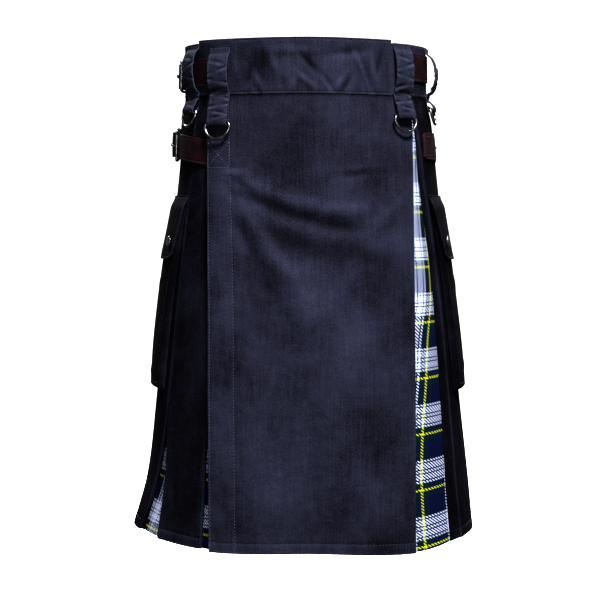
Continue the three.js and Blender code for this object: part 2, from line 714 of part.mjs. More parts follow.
function flap(side, panel) {
  const grid = [0, 0.1, 0.2, 0.4, 0.7, 1].map((share) => {
    const half = POCKET.width / 2 + mix(4, -1, share);
    return [-1, -0.75, -0.5, -0.25, 0, 0.25, 0.5, 0.75, 1].map((across) => {
      const corner = Math.abs(across) === 1 ? 6 * share : 0;
      const drop = mix(POCKET.flapTop, POCKET.flapBottom, share) - corner;
      return place(pocketMiddle(panel, drop) + across * half, flapDepth(drop), drop);
    });
  });
  add(`flap_${side}`, wall(grid, LOOP), MATERIALS.twill);
  const snapDrop = 240;
  for (const [end, towards] of [["front", side === "left" ? 1 : -1], ["rear", side === "left" ? -1 : 1]]) {
    snap(`snap_${side}_${end}`, pocketMiddle(panel, snapDrop) + towards * 54, flapDepth(snapDrop), snapDrop);
  }
}

// A snap's domed cap, lying on its flap.
function snap(name, girth, depth, drop) {
  const radius = 6.5;
  const profile = [[0, 0], [radius, 0], [radius, 0.7], [radius * 0.8, 1.6], [radius * 0.4, 2.1], [0, 2.2]];
  const geometry = new THREE.LatheGeometry(profile.map(([x, y]) => new THREE.Vector2(x, y)), 14);
  const cap = add(name, geometry, MATERIALS.metal);
  cap.position.copy(place(girth, depth - LOOP / 2 - 0.7, drop));
  cap.quaternion.setFromUnitVectors(new THREE.Vector3(0, 1, 0), axesAt(girth, drop).out);
}

panels();
pleats();
waistbands();
loops();
dRings();
straps();
pocket("right", PANELS.find((panel) => panel.name === "panel_pocket_right"));
pocket("left", PANELS.find((panel) => panel.name === "panel_pocket_left"));

export default kilt;
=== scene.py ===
"""The visible surfaces of a utility kilt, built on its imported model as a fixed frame."""

import math
from collections import namedtuple
from functools import partial

import bmesh
import bpy
import numpy as np
from mathutils import Matrix, Vector


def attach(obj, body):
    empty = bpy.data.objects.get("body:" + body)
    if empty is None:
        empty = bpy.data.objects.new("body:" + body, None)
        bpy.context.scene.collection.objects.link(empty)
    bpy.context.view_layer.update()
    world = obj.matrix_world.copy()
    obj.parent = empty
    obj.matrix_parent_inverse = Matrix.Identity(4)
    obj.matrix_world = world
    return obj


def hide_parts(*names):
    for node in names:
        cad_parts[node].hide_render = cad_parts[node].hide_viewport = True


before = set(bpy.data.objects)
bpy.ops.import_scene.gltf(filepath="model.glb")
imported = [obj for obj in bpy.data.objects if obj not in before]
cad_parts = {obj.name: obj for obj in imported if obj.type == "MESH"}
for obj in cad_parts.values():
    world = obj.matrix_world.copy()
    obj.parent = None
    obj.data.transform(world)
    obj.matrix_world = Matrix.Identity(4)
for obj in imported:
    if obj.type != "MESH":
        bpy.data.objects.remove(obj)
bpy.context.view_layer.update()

bl_info = {
    "name": "Utility kilt",
    "version": (1, 0, 0),
    "blender": (4, 5, 0),
    "location": "View3D > Sidebar > Kilt",
    "description": "Builds the cloth, leather and metal of a utility kilt",
    "category": "Object",
}

# The form is worked out in millimetres, as it was cut, and each mesh is made in metres.
MM = 0.001

BAND_TOP = 32  # height of the waistband's top edge above the origin
BAND_DEPTH = 65
LENGTH = 604  # from the waistband's top edge to the hem at the front
TWILL = 1.4
TARTAN = 1.2
BAND = 2.4
LOOP = 1.6
LEATHER = 2.6
CHAPE = 1.8
SEAM = 0.3
PLEAT = 4.2  # depth from a panel's outer layer to the edge it folds under
UNDER = 8
TUCK = 3.6
LOOP_WIDTH = 27
RING_WIRE = 1.7
RING_SLACK = 0.9
BUCKLE_WIRE = 1.6
BUCKLE_LENGTH = 26
BUCKLE_WIDTH = 37
STRAP_WIDTH = 30
CHAPE_WIDTH = 24
STEP = 4  # the front apron's band stands this much above the rest
SEAM_LEFT = -150
SEAM_RIGHT = 101
TUCKED = 46
UNDER_BAND_END = 90

Section = namedtuple("Section", "drop front back slim edge shoulder side rear")
SECTIONS = [
    Section(0, 108, 104, 0, (100, -79, 0, 0), (134, -43, 1, 1), (147, 5, 2, 2), (100, 78, 2, 2)),
    Section(65, 112, 110, 2, (103, -82, 0, 0), (137, -43, 1, 1), (149, 6, 2, 2), (104, 82, 2, 2)),
    Section(95, 114, 117, 3, (107, -86, 0, 0), (143, -45, 1, 1), (155, 7, 1, 1), (109, 89, 1, 1)),
    Section(150, 117, 128, 7, (113, -91, 0, 0), (149, -46, 1, 1), (161, 10, 1, 1), (114, 98, 1, 1)),
    Section(300, 124, 141, 6, (120, -105, 0, 0), (163, -52, 1, 2), (177, 16, 2, 3), (128, 110, 2, 2)),
    Section(450, 129, 153, 9, (122, -115, -1, 0), (175, -58, 2, 5), (194, 20, 5, 8), (144, 120, 5, 6)),
    Section(540, 131, 159, 9, (122, -119, -2, 0), (181, -60, 3, 7), (205, 22, 8, 12), (152, 127, 8, 9)),
    Section(604, 132, 164, -2, (123, -122, -4, 1), (187, -62, 4, 9), (211, 24, 10, 15), (159, 131, 10, 12)),
]
CORNERS = ("edge", "shoulder", "side", "rear")
SLIMMED = {"edge": 0, "shoulder": 0.6, "side": 1, "rear": 0.7}

# Drops at which the panels' edges are given.
DROPS = (65, 150, 300, 450, 530, 604)

TURNED = (24, 24, 24, 24, 24, 24)
Panel = namedtuple("Panel", "name start end turn_start turn_end sink")
PANELS = [
    Panel(
        "apron", (-134, -130, -126, -125, -124.5, -124), (134, 130, 126, 125, 124.5, 124),
        None, TURNED, (0, 0),
    ),
    Panel(
        "panel_pocket_right", (137.5, 150, 181, 197, 205, 213), (256, 300, 348, 374, 387, 400),
        (10, -4, -10, -16, -19, -22), TURNED, (0, 0),
    ),
    Panel(
        "panel_back_right", (259, 303, 351, 385, 403, 422), (358, 402, 452, 486, 502, 518),
        TURNED, TURNED, (0, 0),
    ),
    Panel(
        "panel_back_middle", (361, 405, 455, 497, 518, 539), (-361, -405, -455, -497, -518, -539),
        TURNED, TURNED, (0, 0),
    ),
    Panel(
        "panel_back_left", (-358, -402, -452, -486, -502, -518), (-259, -303, -351, -385, -403, -422),
        TURNED, TURNED, (0, 0),
    ),
    Panel(
        "panel_pocket_left", (-256, -300, -348, -374, -388, -404), (-151, -163, -184, -206, -229, -258),
        TURNED, (20, 22, 24, 16, 2, -8), (0, 0),
    ),
    Panel(
        "panel_side_left", (-148, -160, -180, -200, -204, -207), (-118, -118, -123, -133, -137, -140),
        (12, 16, 24, 24, 24, 24), (10, 14, 20, 20, 20, 20), (0, UNDER),
    ),
    Panel(
        "under_apron", (-106, -106, -108, -112, -112, -112), (92, 96, 99, 100, 101, 101),
        (16, 18, 20, 20, 20, 20), None, (UNDER, UNDER),
    ),
]
PANEL = {panel.name: panel for panel in PANELS}

# Tartan pleats. yellow is how far the yellow stripe down the pleat lies from its first panel's edge, at
# each of YELLOW_DROPS, spread is how much wider the sett lies across it than down it, and raised is how
# far its bands across lie above those of the front right one.
YELLOW_DROPS = (65, 205, 297, 357, 404, 463, 527, 604)
Pleat = namedtuple("Pleat", "name leaves arrives yellow spread raised")
PLEATS = [
    Pleat(
        "tartan_front_right", "apron", "panel_pocket_right", (30, 30, 39, 27.5, 22.5, 15, 13, 18), 1.5, 0
    ),
    Pleat("tartan_rear_right", "panel_pocket_right", "panel_back_right", (20,) * 8, 1, 9),
    Pleat("tartan_back_right", "panel_back_right", "panel_back_middle", (2,) * 8, 1, 31),
    Pleat("tartan_back_left", "panel_back_middle", "panel_back_left", (12,) * 8, 1, 18),
    Pleat("tartan_rear_left", "panel_back_left", "panel_pocket_left", (6,) * 8, 1, 44),
    Pleat("tartan_side_left", "panel_pocket_left", "panel_side_left", (60,) * 8, 1.3, 2),
    Pleat("tartan_front_left", "panel_side_left", "under_apron", (-14,) * 8, 1, 12.6),
]

# Soft ridges of the cloth, or troughs where height is negative. girth is measured from the front's
# middle on the apron, and from the panel's own middle elsewhere. slant is degrees below level.
Fold = namedtuple("Fold", "girth drop slant length width height")
APRON_FOLDS = [
    Fold(-52, 205, 28, 75, 20, 3.0),
    Fold(-58, 262, 52, 90, 22, 3.2),
    Fold(-10, 250, 18, 80, 18, -2.4),
    Fold(30, 420, 82, 150, 30, 2.6),
    Fold(-70, 470, 86, 130, 26, 2.4),
    Fold(86, 480, 92, 140, 22, -1.8),
]
APRON_CREASES = [
    Fold(-64, 176, 26, 30, 8, 2.0),
    Fold(-18, 194, 14, 32, 9, 1.9),
    Fold(34, 203, 2, 34, 9, 1.7),
    Fold(-58, 196, 22, 28, 8, -2.2),
    Fold(-12, 214, 12, 32, 9, -2.0),
    Fold(34, 224, 4, 34, 9, -1.6),
    Fold(-64, 228, 58, 26, 8, 2.0),
    Fold(-38, 268, 50, 30, 9, 1.8),
    Fold(-78, 238, 62, 32, 8, -2.2),
    Fold(-56, 288, 64, 46, 10, -2.0),
    Fold(-96, 152, 2, 16, 2.6, -1.1),
    Fold(-92, 158, 4, 18, 3, 0.8),
    Fold(-86, 170, 34, 16, 3, -1.0),
    Fold(-96, 184, 66, 16, 3, -0.9),
    Fold(52, 153, -6, 22, 3.5, 0.8),
    Fold(56, 160, -6, 22, 3.5, -0.7),
    Fold(-40, 92, 84, 18, 6, -0.9),
    Fold(-18, 96, 96, 20, 7, 0.8),
    Fold(40, 94, 80, 20, 7, 0.8),
    Fold(78, 90, 102, 18, 6, -0.9),
    Fold(88, 210, -38, 44, 9, 0.9),
    Fold(68, 262, 20, 36, 9, -0.9),
    Fold(70, 320, 74, 60, 10, -0.9),
    Fold(-6, 350, 80, 70, 10, 0.9),
    Fold(-104, 330, 84, 60, 7, 0.8),
    Fold(56, 520, 88, 60, 9, 0.9),
    Fold(2, 530, 92, 50, 8, -0.9),
    Fold(-40, 548, 84, 44, 8, 0.9),
]
# Broad patches of painted light, and of painted shade where height is negative, standing in for the shading
# of the apron's folds.
APRON_PAINTED_SHADING = [
    Fold(-46, 116, 80, 50, 26, -0.12), Fold(-66, 300, 66, 60, 16, -0.12), Fold(58, 300, 90, 150, 30, 0.05),
    Fold(14, 118, 90, 34, 22, 0.05), Fold(0, 590, 0, 110, 34, -0.06), Fold(-20, 400, 88, 120, 26, 0.04),
]
# Broad patches of painted light on the waistband, and of painted shade where height is negative, standing
# in for the shading of its creases.
BAND_PAINTED_SHADING = [
    Fold(-58, 28, 90, 22, 9, -0.24), Fold(0, 28, 80, 24, 11, -0.22), Fold(-30, 20, 90, 20, 10, 0.1),
    Fold(34, 24, 90, 24, 12, 0.1), Fold(94, 40, 90, 22, 8, -0.14), Fold(330, 30, 80, 24, 14, -0.14),
    Fold(392, 34, 96, 24, 12, 0.08), Fold(440, 26, 84, 24, 14, -0.12), Fold(500, 30, 90, 24, 14, 0.08),
]
PANEL_CREASES = {
    "panel_pocket_right": [
        Fold(-42, 120, 72, 34, 7, 0.7), Fold(30, 130, 60, 30, 7, -0.7), Fold(-76, 260, 86, 90, 7, 1.2),
        Fold(-60, 470, 78, 60, 9, 1.1), Fold(24, 500, 95, 60, 10, 1.3), Fold(66, 480, 84, 70, 9, -1.1),
        Fold(-14, 560, 90, 40, 9, -1.0), Fold(-84, 560, 84, 44, 8, 1.0),
    ],
    "panel_pocket_left": [
        Fold(36, 130, 70, 36, 7, 0.8), Fold(-30, 120, 66, 32, 7, -0.7), Fold(70, 470, 80, 70, 9, 1.2),
        Fold(-20, 500, 96, 60, 10, 1.2), Fold(-62, 470, 84, 70, 9, -1.0), Fold(14, 560, 88, 40, 9, -1.0),
    ],
    "panel_side_left": [
        Fold(-4, 150, 84, 40, 5, 0.7), Fold(8, 240, 88, 70, 6, -0.8), Fold(-10, 340, 86, 70, 7, 0.9),
        Fold(6, 450, 90, 70, 6, 0.8), Fold(-14, 540, 84, 50, 6, -0.8),
    ],
    "panel_back_right": [
        Fold(-18, 150, 80, 50, 8, 0.9), Fold(16, 260, 94, 90, 9, -0.9), Fold(-12, 400, 84, 100, 9, 1.1),
        Fold(22, 520, 92, 70, 8, 1.0), Fold(-26, 560, 88, 50, 8, -0.9),
    ],
    "panel_back_middle": [
        Fold(-20, 130, 64, 40, 8, 0.9), Fold(24, 170, 112, 44, 8, 0.8), Fold(2, 280, 90, 100, 10, -1.0),
        Fold(-24, 420, 86, 90, 9, 1.1), Fold(26, 500, 95, 80, 9, 1.0), Fold(0, 560, 90, 50, 9, -0.9),
    ],
    "panel_back_left": [
        Fold(18, 140, 100, 50, 8, 0.9), Fold(-16, 240, 86, 90, 9, -0.9), Fold(10, 390, 96, 100, 9, 1.1),
        Fold(-24, 510, 88, 70, 8, 1.0), Fold(24, 560, 92, 50, 8, -0.9),
    ],
    "under_apron": [
        Fold(-40, 240, 84, 90, 14, 0.9), Fold(30, 380, 92, 110, 14, -0.9), Fold(-10, 520, 90, 70, 12, 0.9),
    ],
}

Loop = namedtuple("Loop", "name girth top bar bulge")
LOOPS = [
    Loop("loop_front_left", -112.5, 9, 99, 6.5),
    Loop("loop_front_right", 116, 2, 90, 6.5),
    Loop("loop_side_left", -161, 2, 83, 9),
    Loop("loop_side_right", 190, 3, 78, 12),
    Loop("loop_back_left", -324, 4, 0, 6.5),
    Loop("loop_back_right", 324, 4, 0, 6.5),
]

Strap = namedtuple("Strap", "name side root heel drop heel_drop wall inside")
STRAPS = [
    Strap("waist_left", -1, 104, 226, 37, 37, BAND, False),
    Strap("waist_right", 1, 106, 250, 29, 29, BAND, False),
    Strap("hip_left", -1, 106, 234, 136, 119, TWILL, True),
    Strap("hip_right", 1, 153, 262, 124, 122, TWILL, False),
]

Pocket = namedtuple("Pocket", "width mouth bottom flap_top flap_bottom depth snap_drop snap_reach")
POCKET = Pocket(146, 199, 424, 184, 262, 7.4, 240, 54)
BAG_DROPS = (POCKET.mouth, 225, 265, 320, 375, POCKET.bottom)
BAG_SHARES = (0.3, 0.5, 0.8, 1, 1.08, 0.9)


def mix(a, b, share):
    return a + (b - a) * share


def eased(value, low, high):
    """0 below low, 1 above high and a smooth step between."""
    share = np.clip((np.asarray(value, float) - low) / (high - low), 0, 1)
    return share * share * (3 - 2 * share)


def unit(vectors):
    return vectors / np.linalg.norm(vectors, axis=-1, keepdims=True)


def along(rows, values, drop):
    """Values at any drop, on a smooth curve through the rows."""
    rows = np.asarray(rows, float)
    values = np.asarray(values, float)
    drop = np.asarray(drop, float)
    before = np.maximum(np.arange(len(rows)) - 1, 0)
    after = np.minimum(np.arange(len(rows)) + 1, len(rows) - 1)
    slope = (values[after] - values[before]) / (rows[after] - rows[before])
    at = np.clip(np.searchsorted(rows, drop), 1, len(rows) - 1)
    span = rows[at] - rows[at - 1]
    t = (drop - rows[at - 1]) / span
    return (
        (2 * t**3 - 3 * t**2 + 1) * values[at - 1]
        + (t**3 - 2 * t**2 + t) * span * slope[at - 1]
        + (3 * t**2 - 2 * t**3) * values[at]
        + (t**3 - t**2) * span * slope[at]
    )


def curve_between(p0, p1, p2, p3, t):
    """Points from p1 to p2 of the curve through four points, spaced by the roots of their distances."""
    d0, d1, d2 = (
        np.maximum(np.linalg.norm(b - a, axis=-1, keepdims=True), 1e-6) ** 0.5
        for a, b in ((p0, p1), (p1, p2), (p2, p3))
    )
    leave = ((p1 - p0) / d0 - (p2 - p0) / (d0 + d1) + (p2 - p1) / d1) * d1
    arrive = ((p2 - p1) / d1 - (p3 - p1) / (d1 + d2) + (p3 - p2) / d2) * d1
    return (
        (2 * t**3 - 3 * t**2 + 1) * p1
        + (t**3 - 2 * t**2 + t) * leave
        + (3 * t**2 - 2 * t**3) * p2
        + (t**3 - t**2) * arrive
    )


def closed_curve(corners, count):
    """Evenly spaced points of a closed curve through corners, an array of (curves, corners, 3)."""
    number = corners.shape[1]
    t = np.linspace(0, 1, 60, endpoint=False)[None, :, None]
    spans = []
    for k in range(number):
        four = [corners[:, (k + step) % number][:, None, :] for step in (-1, 0, 1, 2)]
        spans.append(curve_between(*four, t))
    fine = np.concatenate([*spans, spans[0][:, :1]], axis=1)
    steps = np.linalg.norm(np.diff(fine, axis=1), axis=-1)
    run = np.concatenate([np.zeros((len(fine), 1)), np.cumsum(steps, axis=1)], axis=1)
    even = np.empty((len(fine), count, 3))
    for k, (points, lengths) in enumerate(zip(fine, run)):
        wanted = np.linspace(0, lengths[-1], count, endpoint=False)
        for axis in range(3):
            even[k, :, axis] = np.interp(wanted, lengths, points[:, axis])
    return even, run[:, -1]


def smooth_path(points, step):
    """A smooth curve through the points of an open path, with a place about every step along it."""
    points = np.asarray(points, float)
    ends = [2 * points[0] - points[1], *points, 2 * points[-1] - points[-2]]
    path = []
    for k in range(1, len(ends) - 2):
        length = np.linalg.norm(ends[k + 1][:2] - ends[k][:2])
        t = np.linspace(0, 1, max(2, math.ceil(length / step)), endpoint=False)[:, None]
        path.append(curve_between(ends[k - 1], ends[k], ends[k + 1], ends[k + 2], t))
    return np.concatenate([*path, points[-1:]])


class Form:
    """The body that the cloth hangs on, read at any place around it, depth behind it and drop."""

    SPACING = 1.5
    COUNT = 1500

    def __init__(self):
        self.drops = np.arange(-15, LENGTH + 15, self.SPACING)
        rows = [section.drop for section in SECTIONS]
        height = BAND_TOP - self.drops

        def read(key, axis=None):
            values = [getattr(row, key) if axis is None else getattr(row, key)[axis] for row in SECTIONS]
            return along(rows, values, self.drops)

        slim = read("slim")
        right = [
            np.stack([read(key, 0), read(key, 1), height + read(key, 2)], axis=-1) for key in CORNERS
        ]
        left = [
            np.stack([slim * SLIMMED[key] - read(key, 0), read(key, 1), height + read(key, 3)], axis=-1)
            for key in CORNERS
        ]
        none = np.zeros_like(height)
        front_lift = (read("edge", 2) + read("edge", 3)) / 2
        back_lift = (read("rear", 2) + read("rear", 3)) / 2
        front = np.stack([none, -read("front"), height + front_lift], axis=-1)
        back = np.stack([none, read("back"), height + back_lift], axis=-1)
        corners = np.stack([front, *right, back, *reversed(left)], axis=1)
        self.points, self.lengths = closed_curve(corners, self.COUNT)
        tangents = np.roll(self.points, -1, axis=1) - np.roll(self.points, 1, axis=1)
        tangents[..., 2] = 0
        self.tangents = unit(tangents)

    def girth(self, drop):
        return np.interp(drop, self.drops, self.lengths)

    def read(self, girth, drop):
        girth, drop = np.broadcast_arrays(np.asarray(girth, float), np.asarray(drop, float))
        row = (drop - self.drops[0]) / self.SPACING
        low = np.clip(np.floor(row).astype(int), 0, len(self.drops) - 2)
        down = (row - low)[..., None]
        column = (girth / self.girth(drop)) % 1 * self.COUNT
        left = np.floor(column).astype(int) % self.COUNT
        right = (left + 1) % self.COUNT
        over = (column - np.floor(column))[..., None]
        upper = mix(self.points[low, left], self.points[low, right], over)
        lower = mix(self.points[low + 1, left], self.points[low + 1, right], over)
        tangent = mix(self.tangents[low, left], self.tangents[low, right], over)
        return mix(upper, lower, down), unit(tangent)

    def place(self, girth, depth, drop):
        point, tangent = self.read(girth, drop)
        inwards = np.stack([-tangent[..., 1], tangent[..., 0], np.zeros_like(tangent[..., 0])], axis=-1)
        return point + inwards * np.broadcast_to(depth, point.shape[:-1])[..., None]

    def axes(self, girth, drop):
        """The axes of the cloth at a place: across it to the right, outwards and up."""
        reach = 6
        rise = self.place(girth, 0, drop - reach) - self.place(girth, 0, drop + reach)
        across = self.read(girth, drop)[1]
        out = unit(np.cross(across, rise))
        return across, out, np.cross(out, across)


FORM = Form()


def running(steps):
    """How far along each place is, from the steps between them."""
    return np.concatenate([[0], np.cumsum(steps)])


def flat_grid(across, down):
    """Flat coordinates in metres, from places across the cloth and down it in millimetres."""
    return np.stack(np.broadcast_arrays(across, down), axis=-1) * MM


def stations(start, end, step, lines=()):
    """Places from start to end about a step apart, closer together at both ends and at each line."""
    places = list(np.linspace(start, end, max(2, round((end - start) / step) + 1)))
    close = 0.7
    for line in lines:
        places = [place for place in places if abs(place - line) > 2.2]
        places += [line - 1.5 * close, line - 0.5 * close, line + 0.5 * close, line + 1.5 * close]
    places = [place for place in places if start + close < place < end - close]
    return np.array(sorted([start, start + close, *places, end - close, end]))


def ridges(folds, girth, drop):
    """How far folds push the cloth out."""
    total = np.zeros(np.broadcast(girth, drop).shape)
    for fold in folds:
        turn = math.radians(fold.slant)
        x = girth - fold.girth
        y = drop - fold.drop
        run = (x * math.cos(turn) + y * math.sin(turn)) / fold.length
        off = (y * math.cos(turn) - x * math.sin(turn)) / fold.width
        total = total + fold.height * np.exp(-run * run - off * off)
    return total


def pucker(girth, distance, height, reach):
    """The uneven gathering of cloth beside a sewn line."""
    wave = np.sin(girth / 2.3) + 0.8 * np.sin(girth / 3.7 + 1.3) + 0.6 * np.sin(girth / 1.6 + 0.4)
    return height * wave * np.exp(-np.abs(distance) / reach)


def groove(distance, depth=0.35, width=0.8):
    """The dip that a row of stitches pulls into the cloth."""
    return -depth * np.exp(-((distance / width) ** 2))


HEM = 12  # the hem's row of stitches, up from the panels' bottom edges
APRON_EDGE_ROWS = (2.2, 32)  # rows of stitches in from the apron's left edge
APRON_PRESSED = 20  # the line that is pressed down the apron, in from its right edge


def edge_at(values, drop):
    return along(DROPS, values, drop)


def edges_at(panel, drop):
    start = edge_at(panel.start, drop)
    end = edge_at(panel.end, drop)
    return start, np.where(end < start, end + FORM.girth(drop), end)


def covered(panel, girth, drop, middle):
    """1 on open cloth and 0 where a pocket or a strap lies on it."""
    free = np.ones(np.broadcast(girth, drop).shape)
    if "pocket" in panel.name:
        beside = eased(np.abs(girth - middle), POCKET.width / 2 - 2, POCKET.width / 2 + 14)
        above = 1 - eased(drop, POCKET.flap_top - 18, POCKET.flap_top - 4)
        below = eased(drop, POCKET.bottom - 2, POCKET.bottom + 16)
        free = np.maximum(beside, np.maximum(above, below))
    if panel.name != "apron":
        strap_low, strap_high = 98, 156
        near = eased(drop, strap_low - 14, strap_low) * (1 - eased(drop, strap_high, strap_high + 14))
        free = free * (1 - 0.85 * near)
    return free


def panel_relief(panel, girth, drop):
    """How far a panel's cloth stands out from its plain form."""
    start, end = edges_at(panel, drop)
    share = np.clip((girth - start) / (end - start), 0, 1)
    calm = np.sin(np.pi * share) ** 0.5
    middle = (start + end) / 2
    seam = drop - BAND_DEPTH
    hem = LENGTH - drop
    if panel.name == "apron":
        relief = ridges(APRON_FOLDS, girth, drop) * calm
        relief = relief + ridges(APRON_CREASES, girth, drop) * np.minimum(1, calm * 1.6)
        for row in APRON_EDGE_ROWS:
            relief = relief + groove(girth - start - row)
        pressed = girth - end + APRON_PRESSED
        relief = relief + 0.5 * np.exp(-((pressed / 1.6) ** 2)) - 0.4 * eased(pressed, 0, 3)
    else:
        relief = ridges(PANEL_CREASES[panel.name], girth - middle, drop) * calm
        relief = relief * covered(panel, girth, drop, middle)
    relief = relief + pucker(girth, seam, 0.16, 9) * calm * np.exp(-seam / 40)
    relief = relief + pucker(girth + 40, hem - HEM, 0.1, 5)
    relief = relief + groove(hem - HEM) + 0.25 * (1 - eased(hem, HEM - 1.5, HEM + 1.5))
    sway = np.sin(girth / 17 + len(panel.name)) + 0.7 * np.sin(girth / 9.5)
    return relief + 0.5 * sway * np.exp(-hem / 45) * calm


def panel_at(panel, girth, drop, lift=0):
    """A point of a panel between its folded edges, a lift in front of its middle layer."""
    start, end = edges_at(panel, drop)
    share = np.clip((girth - start) / (end - start), 0, 1)
    depth = mix(panel.sink[0], panel.sink[1], share) - panel_relief(panel, girth, drop) - lift
    return FORM.place(girth, depth, drop)


NOSE = 0.4  # how far a fold's nose passes the panel's edge
NOSE_TURNS = np.radians([180, 155, 130, 105, 80, 55, 30, 10])
TURN_SHARES = np.array([1, 0.82, 0.64, 0.46, 0.3, 0.16, 0.06])


def turned_edge(at, side, turn, sink):
    """Places and depths of an edge that turns under, from its inner end to its fold, for each row."""
    radius = PLEAT / 2
    turn = turn[:, None]
    spread = np.clip(-turn / 15, 0, 1)
    flat = radius - NOSE + (turn - radius + NOSE) * TURN_SHARES
    nose = np.broadcast_to(radius * (1 - np.sin(NOSE_TURNS)) - NOSE, (len(turn), len(NOSE_TURNS)))
    shut = np.concatenate([flat, nose], axis=1)
    shut_depth = np.concatenate([np.full(flat.shape, PLEAT), np.broadcast_to(
        radius * (1 - np.cos(NOSE_TURNS)), nose.shape)], axis=1)
    share = np.linspace(1, 0.03, shut.shape[1])[None, :]
    girth = mix(shut, turn * share, spread)
    depth = mix(shut_depth, PLEAT * share**0.6, spread)
    return at[:, None] + side * girth, sink + depth


def panel_grid(panel):
    """A panel's places, depths and drops, row by row, with both of its edges."""
    rows = stations(BAND_DEPTH + SEAM / 2, LENGTH, 3.4, (LENGTH - HEM,))
    start, end = edges_at(panel, rows)
    radius = PLEAT / 2 - NOSE
    from_start = np.zeros_like(rows)
    to_end = np.zeros_like(rows)
    if panel.turn_start is not None:
        from_start = radius * (1 - np.clip(-edge_at(panel.turn_start, rows) / 15, 0, 1))
    if panel.turn_end is not None:
        to_end = radius * (1 - np.clip(-edge_at(panel.turn_end, rows) / 15, 0, 1))
    width = float(np.mean(end - start))
    sewn = ()
    if panel.name == "apron":
        sewn = (*APRON_EDGE_ROWS, width - APRON_PRESSED)
    share = stations(0, width, 3.0, sewn) / width
    first = (start + from_start)[:, None]
    last = (end - to_end)[:, None]
    girth = first + (last - first) * share[None, :]
    drop = np.broadcast_to(rows[:, None], girth.shape)
    depth = mix(panel.sink[0], panel.sink[1], share[None, :]) - panel_relief(panel, girth, drop)
    girths, depths = [girth], [depth]
    if panel.turn_start is not None:
        more = turned_edge(start, 1, edge_at(panel.turn_start, rows), panel.sink[0])
        girths.insert(0, more[0])
        depths.insert(0, more[1])
    if panel.turn_end is not None:
        more = turned_edge(end, -1, edge_at(panel.turn_end, rows), panel.sink[1])
        girths.append(more[0][:, ::-1])
        depths.append(more[1][:, ::-1])
    girth = np.concatenate(girths, axis=1)
    depth = np.concatenate(depths, axis=1)
    return girth, depth, np.broadcast_to(rows[:, None], girth.shape)


def developed(girth, depth, drop):
    """Flat coordinates of cloth in metres: along each row from its middle, and down."""
    steps = np.hypot(np.diff(girth, axis=1), np.diff(depth, axis=1))
    run = np.concatenate([np.zeros((len(girth), 1)), np.cumsum(steps, axis=1)], axis=1)
    return np.stack([run - run[:, -1:] / 2, -drop], axis=-1) * MM


def laid_mesh(name, points, flat, wear=None):
    """A mesh of a grid laid on points in millimetres, with its flat coordinates as its UV map."""
    rows, columns = points.shape[:2]
    bm = bmesh.new()
    bmesh.ops.create_grid(bm, x_segments=columns - 1, y_segments=rows - 1, size=0.5)
    mesh = bpy.data.meshes.new(name)
    bm.to_mesh(mesh)
    bm.free()
    corners = np.empty(len(mesh.vertices) * 3)
    mesh.vertices.foreach_get("co", corners)
    corners = corners.reshape(-1, 3)
    column = np.rint((corners[:, 0] + 0.5) * (columns - 1)).astype(int)
    row = np.rint((0.5 - corners[:, 1]) * (rows - 1)).astype(int)
    mesh.vertices.foreach_set("co", (points[row, column] * MM).ravel())
    vertex = np.empty(len(mesh.loops), int)
    mesh.loops.foreach_get("vertex_index", vertex)
    layer = mesh.uv_layers.new(name="Cloth")
    layer.uv.foreach_set("vector", flat[row, column][vertex].astype(np.float32).ravel())
    if wear is None:
        wear = np.zeros((rows, columns))
    # This attribute carries fading and real rubbing, and also the painted shade and painted light that the
    # cloth builders add to it.
    attribute = mesh.attributes.new("wear", "FLOAT", "POINT")
    attribute.data.foreach_set("value", wear[row, column].astype(np.float32))
    mesh.polygons.foreach_set("use_smooth", np.ones(len(mesh.polygons), bool))
    mesh.update()
    return mesh


def piece(name, mesh, material, nodes, body="kilt"):
    """An object for a finished mesh that stands for its solids and rides on their body."""
    thing = bpy.data.objects.new(name, mesh)
    bpy.context.scene.collection.objects.link(thing)
    mesh.materials.append(material)
    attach(thing, body)
    if nodes:
        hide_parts(*nodes)
    return thing


def thicken(thing, thickness, edge=0):
    """Gives a sheet its wall, half to each side, and rounds the wall's edges."""
    wall = thing.modifiers.new("Wall", "SOLIDIFY")
    wall.thickness = thickness * MM
    wall.offset = 0
    if edge:
        rounding = thing.modifiers.new("Edge", "BEVEL")
        rounding.width = edge * MM
        rounding.segments = 2
        rounding.limit_method = "ANGLE"
        rounding.angle_limit = math.radians(50)
        rounding.harden_normals = False


def held_by(in_front):
    """The length of waistband that a piece hangs from or is sewn to."""
    return "waistband_front_cloth" if in_front else "waistband_back_cloth"


# How pale the cloth is away from its edges: most in front, least on the sides and the pockets. Partly
# fading, and partly painted shade that keeps the side and pocket panels, the bags and the flaps dark where
# less light falls on them.
APRON_WORN = 0.4
BACK_WORN = 0.2
POCKET_FADE_AND_PAINTED_SHADE = 0
PANEL_FADE_AND_PAINTED_SHADE = {
    "apron": APRON_WORN, "under_apron": 0.15, "panel_side_left": 0.12,
    "panel_pocket_left": 0.03, "panel_pocket_right": 0.03,
}


def rubbed_and_painted_light(relief, down):
    """Paler cloth on raised folds and darker in their troughs, partly real rubbing and partly painted
    shade, with painted light on the folds' upper sides and painted shade on their lower sides, from the
    relief and how far down it is.
    """
    slope = np.gradient(relief, axis=0) / np.gradient(down, axis=0)
    return 0.05 * np.clip(relief, -3, 3) + 0.75 * np.clip(slope, -0.4, 0.4)


def edge_wear(points, faded_and_shaded=0.0, edge=1.0):
    """Wear of a grid of cloth: worn all over, and more near the grid's edges."""
    rows, columns = points.shape[:2]
    across = np.linalg.norm(np.diff(points, axis=1), axis=-1).mean(axis=0)
    down = np.linalg.norm(np.diff(points, axis=0), axis=-1).mean(axis=1)
    x, y = running(across), running(down)
    beside = np.minimum(x, x[-1] - x)[None, :]
    above = np.minimum(y, y[-1] - y)[:, None]
    return np.clip(faded_and_shaded + edge * (np.exp(-beside / 1.6) + np.exp(-above / 1.6)), 0, 1)


